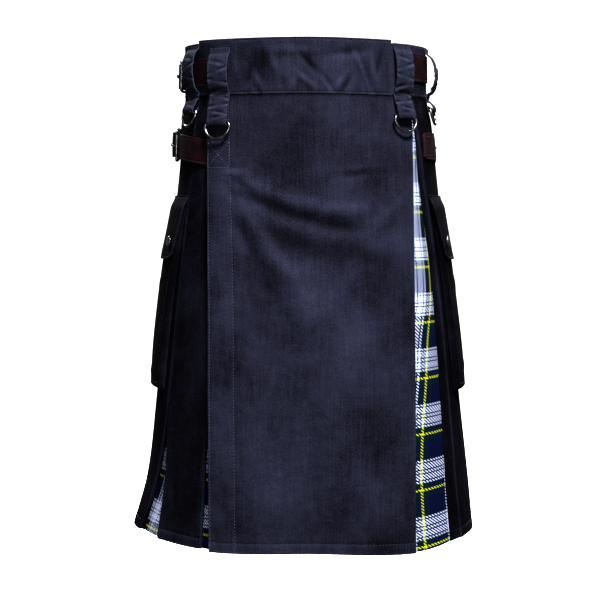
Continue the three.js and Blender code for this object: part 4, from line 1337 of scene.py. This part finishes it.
def panel_seams(panel):
    """The stitches of a panel's hem."""
    start, end = (float(edge) for edge in edges_at(panel, LENGTH - HEM))
    corners = [(start + 3, LENGTH - HEM), (end - 3, LENGTH - HEM)]
    return stitched("hem", partial(panel_at, panel), corners, TWILL / 2 + THREAD_RISE)


def apron_edge_seams():
    """The two rows down the apron's left edge, and the crossed box under the ring's loop."""
    apron = PANEL["apron"]
    surface = partial(panel_at, apron)
    lift = TWILL / 2 + THREAD_RISE
    drops = np.linspace(BAND_DEPTH + 4, LENGTH - 3, 120)
    start = edges_at(apron, drops)[0]
    meshes = []
    for row in APRON_EDGE_ROWS:
        meshes.append(seam_mesh("edge", surface, np.stack([start + row, drops], axis=1), lift, 2.1, 3.7))
    left, right, top, bottom = -128.6, -99.4, 121, 151
    corners = [(left, top), (right, top), (right, bottom), (left, bottom), (left, top)]
    for path in (corners, corners[0:3:2], corners[1:4:2]):
        meshes += stitched("box", surface, path, lift, 2.0, 3.6)
    return meshes


def band_seams(band):
    surface = partial(band_at, band)
    lift = BAND / 2 + THREAD_RISE
    last = float(band_end(band, BAND_DEPTH / 2))
    if band.name == "waistband_back":
        last -= TUCKED
    rows = [band.top + row for row in BAND_ROWS] + [band_bottom() - row for row in BAND_ROWS]
    return [
        seam_mesh("band", surface, straight((band.start + 2, row), (last - 2, row)), lift) for row in rows
    ]


def loop_seams(loop):
    """Two rows down a loop, and bars of close stitches where it is sewn down."""
    ribbon = loop_ribbon(loop)
    length = ribbon.run[-1]
    half = LOOP_WIDTH / 2
    surface = lambda offset, run, lift: ribbon.at(offset, run, lift + loop_relief(offset, run, length))
    lift = LOOP / 2 + 0.1
    end = length - 12 if loop.bar else length - 2
    meshes = []
    for offset in (LOOP_ROW - half, half - LOOP_ROW):
        meshes.append(seam_mesh("loop", surface, straight((offset, 2), (offset, end)), lift))
    foot = 62 - loop.top + 7
    for run in (3, 5, foot, foot + 2.5):
        bar = straight((2.5 - half, run), (half - 2.5, run), 3)
        meshes.append(seam_mesh("bar", surface, bar, lift, 1.9, 2.3))
    return meshes


def pocket_seams(panel):
    """The rows down a bag's sides and along its foot, and round its flap."""
    half = POCKET.width / 2 - BAG_ROW
    top, foot = POCKET.flap_bottom + 3, POCKET.bottom - BAG_ROW
    meshes = []
    for path in ([(-half, top), (-half, foot)], [(half, top), (half, foot)], [(-half, foot), (half, foot)]):
        meshes += stitched("bag", partial(bag_at, panel), path, TWILL / 2 + THREAD_RISE)
    wide = 1 - FLAP_ROW / (POCKET.width / 2)
    low = FLAP_ROW / FLAP_HEIGHT
    corners = [(-wide, low), (-wide, 1 - low), (wide, 1 - low), (wide, low), (-wide, low)]
    return meshes + stitched("flap", partial(flap_at, panel), corners, LOOP / 2 + THREAD_RISE, step=0.08)


def strap_seams(strap):
    """The box of stitches where a strap is sewn to the cloth."""
    if strap.inside:
        return []
    path = smooth_path(strap_path(strap), 2.2)
    surface = lambda distance, offset, lift: on_strap(
        strap,
        distance,
        np.interp(distance, path[:, 0], path[:, 1]) - lift - strap_relief(offset),
        offset * strap.side,
    )
    half = STRAP_WIDTH / 2 - 3.6
    first, last = strap.root + 4, strap.root + 22
    corners = [(first, -half), (last, -half), (last, half), (first, half), (first, -half)]
    return stitched("strap", surface, corners, LEATHER / 2 + THREAD_RISE, 2.6, 3.6, step=3)


class Nodes:
    """Adds the shader nodes of one material and links them."""

    def __init__(self, name):
        self.material = bpy.data.materials.new(name)
        self.material.use_nodes = True
        self.tree = self.material.node_tree
        self.tree.nodes.clear()
        self.output = self.add("ShaderNodeOutputMaterial")
        self.shader = self.add("ShaderNodeBsdfPrincipled")
        self.link(self.shader.outputs["BSDF"], self.output.inputs["Surface"])

    def add(self, kind, **values):
        node = self.tree.nodes.new(kind)
        for key, value in values.items():
            setattr(node, key, value)
        return node

    def link(self, source, target):
        self.tree.links.new(source, target)

    def math(self, operation, first, second=None):
        node = self.add("ShaderNodeMath", operation=operation)
        for socket, value in zip(node.inputs, (first, second)):
            if value is None:
                continue
            if isinstance(value, (int, float)):
                socket.default_value = value
            else:
                self.link(value, socket)
        return node.outputs[0]

    def mixed(self, share, first, second, blend="MIX"):
        node = self.add("ShaderNodeMix", data_type="RGBA", blend_type=blend)
        for socket, value in zip((node.inputs[0], node.inputs[6], node.inputs[7]), (share, first, second)):
            if isinstance(value, bpy.types.NodeSocket):
                self.link(value, socket)
            elif isinstance(value, (int, float)):
                socket.default_value = value
            else:
                socket.default_value = tuple(value)
        return node.outputs[2]

    def noise(self, vector, scale, detail=3, roughness=0.55):
        node = self.add("ShaderNodeTexNoise")
        node.inputs["Scale"].default_value = scale
        node.inputs["Detail"].default_value = detail
        node.inputs["Roughness"].default_value = roughness
        self.link(vector, node.inputs["Vector"])
        return node.outputs["Fac"]

    def stretched(self, vector, by):
        node = self.add("ShaderNodeVectorMath", operation="MULTIPLY")
        self.link(vector, node.inputs[0])
        node.inputs[1].default_value = by
        return node.outputs["Vector"]

    def ramp(self, value, stops, interpolation="LINEAR"):
        node = self.add("ShaderNodeValToRGB")
        ramp = node.color_ramp
        ramp.interpolation = interpolation
        while len(ramp.elements) > 1:
            ramp.elements.remove(ramp.elements[-1])
        ramp.elements[0].position, ramp.elements[0].color = stops[0]
        for position, colour in stops[1:]:
            ramp.elements.new(position).color = colour
        self.link(value, node.inputs["Fac"])
        return node.outputs["Color"]

    def bump(self, height, strength, distance, below=None):
        node = self.add("ShaderNodeBump")
        node.inputs["Strength"].default_value = strength
        node.inputs["Distance"].default_value = distance
        self.link(height, node.inputs["Height"])
        if below is not None:
            self.link(below, node.inputs["Normal"])
        return node.outputs["Normal"]

    def cloth_axes(self):
        """The cloth's own coordinates: the whole vector, across and down."""
        where = self.add("ShaderNodeUVMap", uv_map="Cloth").outputs["UV"]
        split = self.add("ShaderNodeSeparateXYZ")
        self.link(where, split.inputs[0])
        return where, split.outputs["X"], split.outputs["Y"]

    # Reads the attribute of fading, rubbing, painted shade and painted light.
    def wear(self):
        return self.add("ShaderNodeAttribute", attribute_name="wear").outputs["Fac"]

    def set(self, **values):
        for key, value in values.items():
            self.shader.inputs[key.replace("_", " ")].default_value = value


def grey(value):
    return (value, value, value, 1)


def twill_material(settings):
    """Cotton twill: fine diagonal ribs and slubby yarn, brown-black where unworn and faded blue-grey, mixed
    by the cloth's attribute, so the brown-black also stands for painted shade and the blue-grey for painted
    light on the folds.
    """
    nodes = Nodes("cotton_twill")
    where, across, down = nodes.cloth_axes()
    diagonal = nodes.math("ADD", across, down)
    rib = nodes.math("SINE", nodes.math("MULTIPLY", diagonal, 2 * math.pi / (settings.twill_rib * 1.414)))
    weft = nodes.math("SINE", nodes.math("MULTIPLY", down, 2 * math.pi / (settings.twill_rib * 0.6)))
    slub = nodes.noise(where, 900, 2)
    cloud = nodes.noise(where, 11, 3, 0.5)
    blotch = nodes.noise(where, 75, 3, 0.6)
    dust = nodes.noise(where, 620, 2, 0.75)
    fade_and_painted_light = nodes.wear()
    streak = nodes.noise(nodes.stretched(where, (1, 0.05, 1)), 420, 2)
    for shade, strength in ((cloud, 1.4), (blotch, 0.4), (dust, 1.5), (streak, 0.5)):
        swing = nodes.math("MULTIPLY", nodes.math("SUBTRACT", shade, 0.5), strength)
        fade_and_painted_light = nodes.math("ADD", fade_and_painted_light, nodes.math("MULTIPLY", swing, nodes.math("ADD", nodes.wear(), 0.4)))
    fade_and_painted_light = nodes.math("ADD", fade_and_painted_light, nodes.math("MULTIPLY", rib, 0.04))
    clamp = nodes.add("ShaderNodeClamp")
    nodes.link(fade_and_painted_light, clamp.inputs[0])
    faded_and_shaded = nodes.mixed(clamp.outputs[0], settings.twill_colour, settings.twill_faded)
    nodes.link(faded_and_shaded, nodes.shader.inputs["Base Color"])
    weave = nodes.math("ADD", rib, nodes.math("MULTIPLY", weft, 0.35))
    first = nodes.bump(weave, 0.35, 0.00012)
    second = nodes.bump(slub, 0.35, 0.0003, first)
    nodes.link(nodes.bump(blotch, 0.4, 0.003, second), nodes.shader.inputs["Normal"])
    nodes.set(Roughness=0.85, Specular_IOR_Level=0.05)
    return nodes.material


def sett_stops(settings):
    """The tartan's sett as colour stops over one repeat, charted from its bands' widths."""
    white = tuple(settings.tartan_white)
    navy = tuple(settings.tartan_navy)
    green = tuple(settings.tartan_green)
    yellow = tuple(settings.tartan_yellow)
    line = 1.2
    bands = [
        (white, 2.2), (navy, line), (white, 7.3), (navy, line), (white, 3.2), (navy, line), (white, 6.9),
        (navy, line), (white, 2.6), (green, 6.6), (yellow, 2.8), (green, 6.6), (navy, 23),
    ]
    stops, run = [], 0
    for colour, width in bands:
        stops.append((run / SETT, colour))
        run += width
    return stops


def tartan_material(settings):
    """Woollen tartan: the same sett in warp and weft, crossed in a twill."""
    nodes = Nodes("woven_tartan")
    where, across, down = nodes.cloth_axes()
    stops = sett_stops(settings)
    count = nodes.math("DIVIDE", across, SETT * MM)
    warp = nodes.ramp(nodes.math("FRACT", count), stops, "CONSTANT")
    fall = nodes.math("DIVIDE", nodes.math("MULTIPLY", down, -1), SETT * MM)
    weft = nodes.ramp(
        nodes.math("FRACT", nodes.math("ADD", fall, settings.tartan_start)), stops, "CONSTANT"
    )
    diagonal = nodes.math("ADD", across, down)
    twill = nodes.math("FRACT", nodes.math("DIVIDE", diagonal, settings.tartan_rib * 1.414))
    over = nodes.math("GREATER_THAN", twill, 0.48)
    cloth = nodes.mixed(over, warp, weft)
    fuzz = nodes.noise(where, 1100, 2)
    shade = nodes.ramp(fuzz, [(0.3, grey(0.82)), (0.7, grey(1))])
    nodes.link(nodes.mixed(1.0, cloth, shade, "MULTIPLY"), nodes.shader.inputs["Base Color"])
    wave = nodes.math("PINGPONG", twill, 0.5)
    first = nodes.bump(wave, 0.4, 0.0003)
    nodes.link(nodes.bump(fuzz, 0.3, 0.0003, first), nodes.shader.inputs["Normal"])
    nodes.set(Roughness=0.9, Specular_IOR_Level=0.06)
    return nodes.material


def leather_material(settings):
    """Bridle leather: pebbled grain, rubbed paler along its edges, a dull waxed gloss."""
    nodes = Nodes("strap_leather")
    where, _, _ = nodes.cloth_axes()
    grain = nodes.add("ShaderNodeTexVoronoi", feature="F1", distance="EUCLIDEAN")
    grain.inputs["Scale"].default_value = 780
    nodes.link(where, grain.inputs["Vector"])
    pores = nodes.noise(where, 1600, 2)
    cloud = nodes.noise(where, 70, 4)
    body = nodes.mixed(
        nodes.ramp(cloud, [(0.35, grey(0)), (0.7, grey(1))]), settings.leather_colour, settings.leather_worn
    )
    rubbed_and_painted_light = nodes.math("MULTIPLY", nodes.wear(), 0.7)
    nodes.link(nodes.mixed(rubbed_and_painted_light, body, settings.leather_edge), nodes.shader.inputs["Base Color"])
    gloss = nodes.ramp(cloud, [(0.3, grey(0.5)), (0.75, grey(0.66))])
    nodes.link(gloss, nodes.shader.inputs["Roughness"])
    first = nodes.bump(grain.outputs["Distance"], 0.35, 0.0004)
    nodes.link(nodes.bump(pores, 0.2, 0.0002, first), nodes.shader.inputs["Normal"])
    nodes.set(Specular_IOR_Level=0.14)
    return nodes.material


def metal_material(settings):
    """Blackened nickel: worn brighter in patches, with fine scratches."""
    nodes = Nodes("dark_nickel")
    where = nodes.add("ShaderNodeTexCoord").outputs["Object"]
    cloud = nodes.noise(where, 160, 4)
    scratch = nodes.noise(where, 1500, 3, 0.7)
    tone = nodes.ramp(cloud, [(0.35, grey(0)), (0.7, grey(1))])
    nodes.link(
        nodes.mixed(tone, settings.metal_colour, settings.metal_worn), nodes.shader.inputs["Base Color"]
    )
    gloss = nodes.ramp(scratch, [(0.3, grey(0.2)), (0.75, grey(0.42))])
    nodes.link(gloss, nodes.shader.inputs["Roughness"])
    nodes.link(nodes.bump(scratch, 0.12, 0.0002), nodes.shader.inputs["Normal"])
    nodes.set(Metallic=1.0)
    return nodes.material


def thread_material(name, colour):
    """Twisted sewing thread."""
    nodes = Nodes(name)
    where = nodes.add("ShaderNodeTexCoord").outputs["Object"]
    twist = nodes.noise(where, 2600, 2)
    shade = nodes.ramp(twist, [(0.3, grey(0.7)), (0.7, grey(1))])
    nodes.link(nodes.mixed(1.0, colour, shade, "MULTIPLY"), nodes.shader.inputs["Base Color"])
    nodes.link(nodes.bump(twist, 0.3, 0.0002), nodes.shader.inputs["Normal"])
    nodes.set(Roughness=0.65, Sheen_Weight=0.2, Specular_IOR_Level=0.3)
    return nodes.material


def kept(name, make):
    """A material by name, made once."""
    return bpy.data.materials.get(name) or make()


def colour(name, description, default):
    return bpy.props.FloatVectorProperty(
        name=name, description=description, default=default, size=4, min=0, max=1, subtype="COLOR"
    )


class KiltSettings(bpy.types.PropertyGroup):
    """Sizes and colours of the kilt's finishes."""

    # The two twill colours are mixed by fading and by painted light: the dark one is also the painted shade
    # of the sides, creases and seam lines, the pale one also the painted light on fold flanks.
    twill_colour: colour("Twill", "The twill where it is unworn", (0.0019, 0.0014, 0.0029, 1))
    twill_faded: colour("Faded twill", "The twill along edges and ridges", (0.037, 0.039, 0.066, 1))
    twill_rib: bpy.props.FloatProperty(
        name="Twill rib", description="From one rib of the twill to the next", default=0.0009,
        min=0.0003, max=0.005, subtype="DISTANCE", unit="LENGTH",
    )
    tartan_rib: bpy.props.FloatProperty(
        name="Tartan rib", description="From one rib of the tartan's twill to the next", default=0.0026,
        min=0.0005, max=0.005, subtype="DISTANCE", unit="LENGTH",
    )
    tartan_white: colour("Tartan white", "The tartan's broad pale bands", (0.44, 0.48, 0.65, 1))
    tartan_navy: colour("Tartan navy", "The tartan's dark bands and fine lines", (0.0036, 0.0066, 0.034, 1))
    tartan_green: colour("Tartan green", "The bands beside the tartan's yellow", (0.0025, 0.017, 0.016, 1))
    tartan_yellow: colour("Tartan yellow", "The tartan's narrow bright band", (0.42, 0.43, 0.045, 1))
    tartan_start: bpy.props.FloatProperty(
        name="Tartan start", description="Where the sett begins down the cloth, as a share of its repeat",
        default=0.445, min=0, max=1, subtype="FACTOR",
    )
    leather_colour: colour("Leather", "The straps' leather", (0.0088, 0.0030, 0.0050, 1))
    leather_worn: colour("Worn leather", "Paler patches of the leather", (0.0200, 0.0066, 0.0096, 1))
    leather_edge: colour("Leather edge", "The rubbed edges of the leather", (0.036, 0.016, 0.021, 1))
    metal_colour: colour("Metal", "Rings, buckles and snaps", (0.1, 0.1, 0.106, 1))
    metal_worn: colour("Worn metal", "Brighter patches of the metal", (0.32, 0.31, 0.32, 1))
    thread_pale: colour("Pale thread", "The thread down the apron's edge", (0.07, 0.068, 0.1, 1))
    thread_dark: colour("Dark thread", "The thread of the other seams", (0.009, 0.009, 0.015, 1))


def twill(settings):
    return kept("cotton_twill", lambda: twill_material(settings))


def pale_thread(settings):
    return kept("thread_pale", lambda: thread_material("thread_pale", settings.thread_pale))


def dark_thread(settings):
    return kept("thread_dark", lambda: thread_material("thread_dark", settings.thread_dark))


class KILT_OT_panels(bpy.types.Operator):
    """Hang the front apron, the under apron and the panels round the sides and back"""

    bl_idname = "kilt.panels"
    bl_label = "Panels"

    def execute(self, context):
        for panel in PANELS:
            build_panel(panel, twill(context.scene.kilt))
        return {"FINISHED"}


class KILT_OT_pleats(bpy.types.Operator):
    """Set the tartan pleats between the panels"""

    bl_idname = "kilt.pleats"
    bl_label = "Tartan pleats"

    def execute(self, context):
        tartan = kept("woven_tartan", lambda: tartan_material(context.scene.kilt))
        for pleat in PLEATS:
            build_pleat(pleat, tartan)
        return {"FINISHED"}


class KILT_OT_waistband(bpy.types.Operator):
    """Put on the three lengths of the waistband"""

    bl_idname = "kilt.waistband"
    bl_label = "Waistband"

    def execute(self, context):
        for band in BANDS:
            build_band(band, twill(context.scene.kilt))
        return {"FINISHED"}


class KILT_OT_loops(bpy.types.Operator):
    """Sew on the belt loops"""

    bl_idname = "kilt.loops"
    bl_label = "Belt loops"

    def execute(self, context):
        for loop in LOOPS:
            build_loop(loop, twill(context.scene.kilt))
        return {"FINISHED"}


class KILT_OT_rings(bpy.types.Operator):
    """Hang the D-rings in their loops"""

    bl_idname = "kilt.rings"
    bl_label = "D-rings"

    def execute(self, context):
        metal = kept("dark_nickel", lambda: metal_material(context.scene.kilt))
        for loop in LOOPS:
            if loop.bar:
                build_ring(loop, metal)
        return {"FINISHED"}


class KILT_OT_straps(bpy.types.Operator):
    """Fasten the leather straps with their chapes, keepers and buckles"""

    bl_idname = "kilt.straps"
    bl_label = "Straps and buckles"

    def execute(self, context):
        settings = context.scene.kilt
        leather = kept("strap_leather", lambda: leather_material(settings))
        metal = kept("dark_nickel", lambda: metal_material(settings))
        for strap in STRAPS:
            build_strap(strap, leather)
            build_chape(strap, leather)
            build_keeper(strap, leather)
            build_buckle(strap, metal)
            build_prong(strap, metal)
        return {"FINISHED"}


POCKET_PANELS = {"right": PANEL["panel_pocket_right"], "left": PANEL["panel_pocket_left"]}


class KILT_OT_pockets(bpy.types.Operator):
    """Sew on the cargo pockets with their flaps and snaps"""

    bl_idname = "kilt.pockets"
    bl_label = "Cargo pockets"

    def execute(self, context):
        settings = context.scene.kilt
        metal = kept("dark_nickel", lambda: metal_material(settings))
        for side, panel in POCKET_PANELS.items():
            build_bag(side, panel, twill(settings))
            build_flap(side, panel, twill(settings))
            towards = POCKET.snap_reach if side == "left" else -POCKET.snap_reach
            build_snap(f"snap_{side}_front", panel, towards, metal)
            build_snap(f"snap_{side}_rear", panel, -towards, metal)
        return {"FINISHED"}


class KILT_OT_stitching(bpy.types.Operator):
    """Stitch the hems, edges, waistband, loops, pockets and straps"""

    bl_idname = "kilt.stitching"
    bl_label = "Stitching"

    def execute(self, context):
        settings = context.scene.kilt
        dark = dark_thread(settings)
        thread_piece("stitching_apron_edge", apron_edge_seams(), pale_thread(settings))
        for panel in PANELS:
            thread_piece(f"stitching_{panel.name}", panel_seams(panel), dark)
        for band in BANDS:
            thread_piece(f"stitching_{band.name}", band_seams(band), dark)
        for loop in LOOPS:
            thread_piece(f"stitching_{loop.name}", loop_seams(loop), dark)
        for side, panel in POCKET_PANELS.items():
            thread_piece(f"stitching_pocket_{side}", pocket_seams(panel), dark)
        for strap in STRAPS:
            meshes = strap_seams(strap)
            if meshes:
                thread_piece(f"stitching_strap_{strap.name}", meshes, dark)
        return {"FINISHED"}


class KILT_OT_stage(bpy.types.Operator):
    """Set up the pale floor, the soft studio light and the camera"""

    bl_idname = "kilt.stage"
    bl_label = "Stage"

    def execute(self, context):
        build_floor()
        build_lights()
        build_camera()
        return {"FINISHED"}


FLOOR = -1.05
CAMERA_REACH = 2.1
CAMERA_AZIMUTH = -4
CAMERA_HEIGHT = -0.193
CAMERA_PITCH = 2.37
CAMERA_LENS = 101.28
CAMERA_SHIFT = -0.0092


def build_floor():
    bm = bmesh.new()
    bmesh.ops.create_grid(bm, x_segments=1, y_segments=1, size=12)
    bmesh.ops.translate(bm, verts=bm.verts, vec=(0, 0, FLOOR))
    mesh = bpy.data.meshes.new("floor")
    bm.to_mesh(mesh)
    bm.free()
    floor = bpy.data.objects.new("floor", mesh)
    bpy.context.scene.collection.objects.link(floor)
    nodes = Nodes("floor")
    where = nodes.add("ShaderNodeTexCoord").outputs["Object"]
    tone = nodes.ramp(nodes.noise(where, 3), [(0.3, grey(0.93)), (0.7, grey(0.95))])
    nodes.link(tone, nodes.shader.inputs["Base Color"])
    nodes.set(Roughness=0.9, Emission_Color=grey(1), Emission_Strength=0.9)
    mesh.materials.append(nodes.material)
    floor.visible_diffuse = False
    floor.visible_glossy = False


# How bright the white room is as it lights the kilt, and as it is seen behind it.
ROOM_LIGHT = 0.16
ROOM_SEEN = 1.05

Lamp = namedtuple("Lamp", "name place aim size power")
LAMPS = [
    Lamp("key", (0.7, -2.2, 3.3), (0, 0, -0.25), 1.1, 455),
    Lamp("fill", (-0.6, -3.1, -0.2), (0, 0, -0.3), 1.2, 30),
    Lamp("back_left", (-1.2, 2.6, 2.5), (0, 0, -0.25), 0.8, 150),
    Lamp("back_right", (1.2, 2.6, 2.5), (0, 0, -0.25), 0.8, 220),
]


def build_lights():
    world = bpy.data.worlds.new("studio")
    world.use_nodes = True
    tree = world.node_tree
    background = tree.nodes["Background"]
    background.inputs["Color"].default_value = (1, 1, 1, 1)
    seen = tree.nodes.new("ShaderNodeLightPath").outputs["Is Camera Ray"]
    strength = tree.nodes.new("ShaderNodeMapRange")
    strength.inputs["To Min"].default_value = ROOM_LIGHT
    strength.inputs["To Max"].default_value = ROOM_SEEN
    tree.links.new(seen, strength.inputs["Value"])
    tree.links.new(strength.outputs["Result"], background.inputs["Strength"])
    bpy.context.scene.world = world
    for lamp in LAMPS:
        light = bpy.data.lights.new(lamp.name, "AREA")
        light.shape = "DISK"
        light.size = lamp.size
        light.energy = lamp.power
        thing = bpy.data.objects.new(lamp.name, light)
        thing.location = lamp.place
        thing.rotation_euler = (Vector(lamp.aim) - Vector(lamp.place)).to_track_quat("-Z", "Y").to_euler()
        bpy.context.scene.collection.objects.link(thing)


def build_camera():
    camera = bpy.data.cameras.new("camera")
    camera.lens = CAMERA_LENS
    camera.sensor_width = 36
    camera.shift_x = CAMERA_SHIFT
    thing = bpy.data.objects.new("camera", camera)
    turn = math.radians(CAMERA_AZIMUTH)
    thing.location = (CAMERA_REACH * math.sin(turn), -CAMERA_REACH * math.cos(turn), CAMERA_HEIGHT)
    thing.rotation_euler = (math.radians(90 - CAMERA_PITCH), 0, turn)
    bpy.context.scene.collection.objects.link(thing)
    bpy.context.scene.camera = thing
    bpy.context.scene.view_settings.view_transform = "Standard"
    bpy.context.scene.view_settings.look = "High Contrast"


STEPS = (
    KILT_OT_stage, KILT_OT_panels, KILT_OT_pleats, KILT_OT_waistband, KILT_OT_loops, KILT_OT_rings,
    KILT_OT_straps, KILT_OT_pockets, KILT_OT_stitching,
)


class KILT_PT_sidebar(bpy.types.Panel):
    """The kilt's settings, and a button for each group of pieces"""

    bl_label = "Utility kilt"
    bl_idname = "KILT_PT_sidebar"
    bl_space_type = "VIEW_3D"
    bl_region_type = "UI"
    bl_category = "Kilt"

    def draw(self, context):
        layout = self.layout
        for name in KiltSettings.__annotations__:
            layout.prop(context.scene.kilt, name)
        for step in STEPS:
            layout.operator(step.bl_idname)


CLASSES = (KiltSettings, *STEPS, KILT_PT_sidebar)


def register():
    for each in CLASSES:
        bpy.utils.register_class(each)
    bpy.types.Scene.kilt = bpy.props.PointerProperty(type=KiltSettings)


def unregister():
    del bpy.types.Scene.kilt
    for each in reversed(CLASSES):
        bpy.utils.unregister_class(each)


def main():
    register()
    bpy.ops.kilt.stage()
    bpy.ops.kilt.panels()
    bpy.ops.kilt.pleats()
    bpy.ops.kilt.waistband()
    bpy.ops.kilt.loops()
    bpy.ops.kilt.rings()
    bpy.ops.kilt.straps()
    bpy.ops.kilt.pockets()
    bpy.ops.kilt.stitching()


if __name__ == "__main__":
    main()
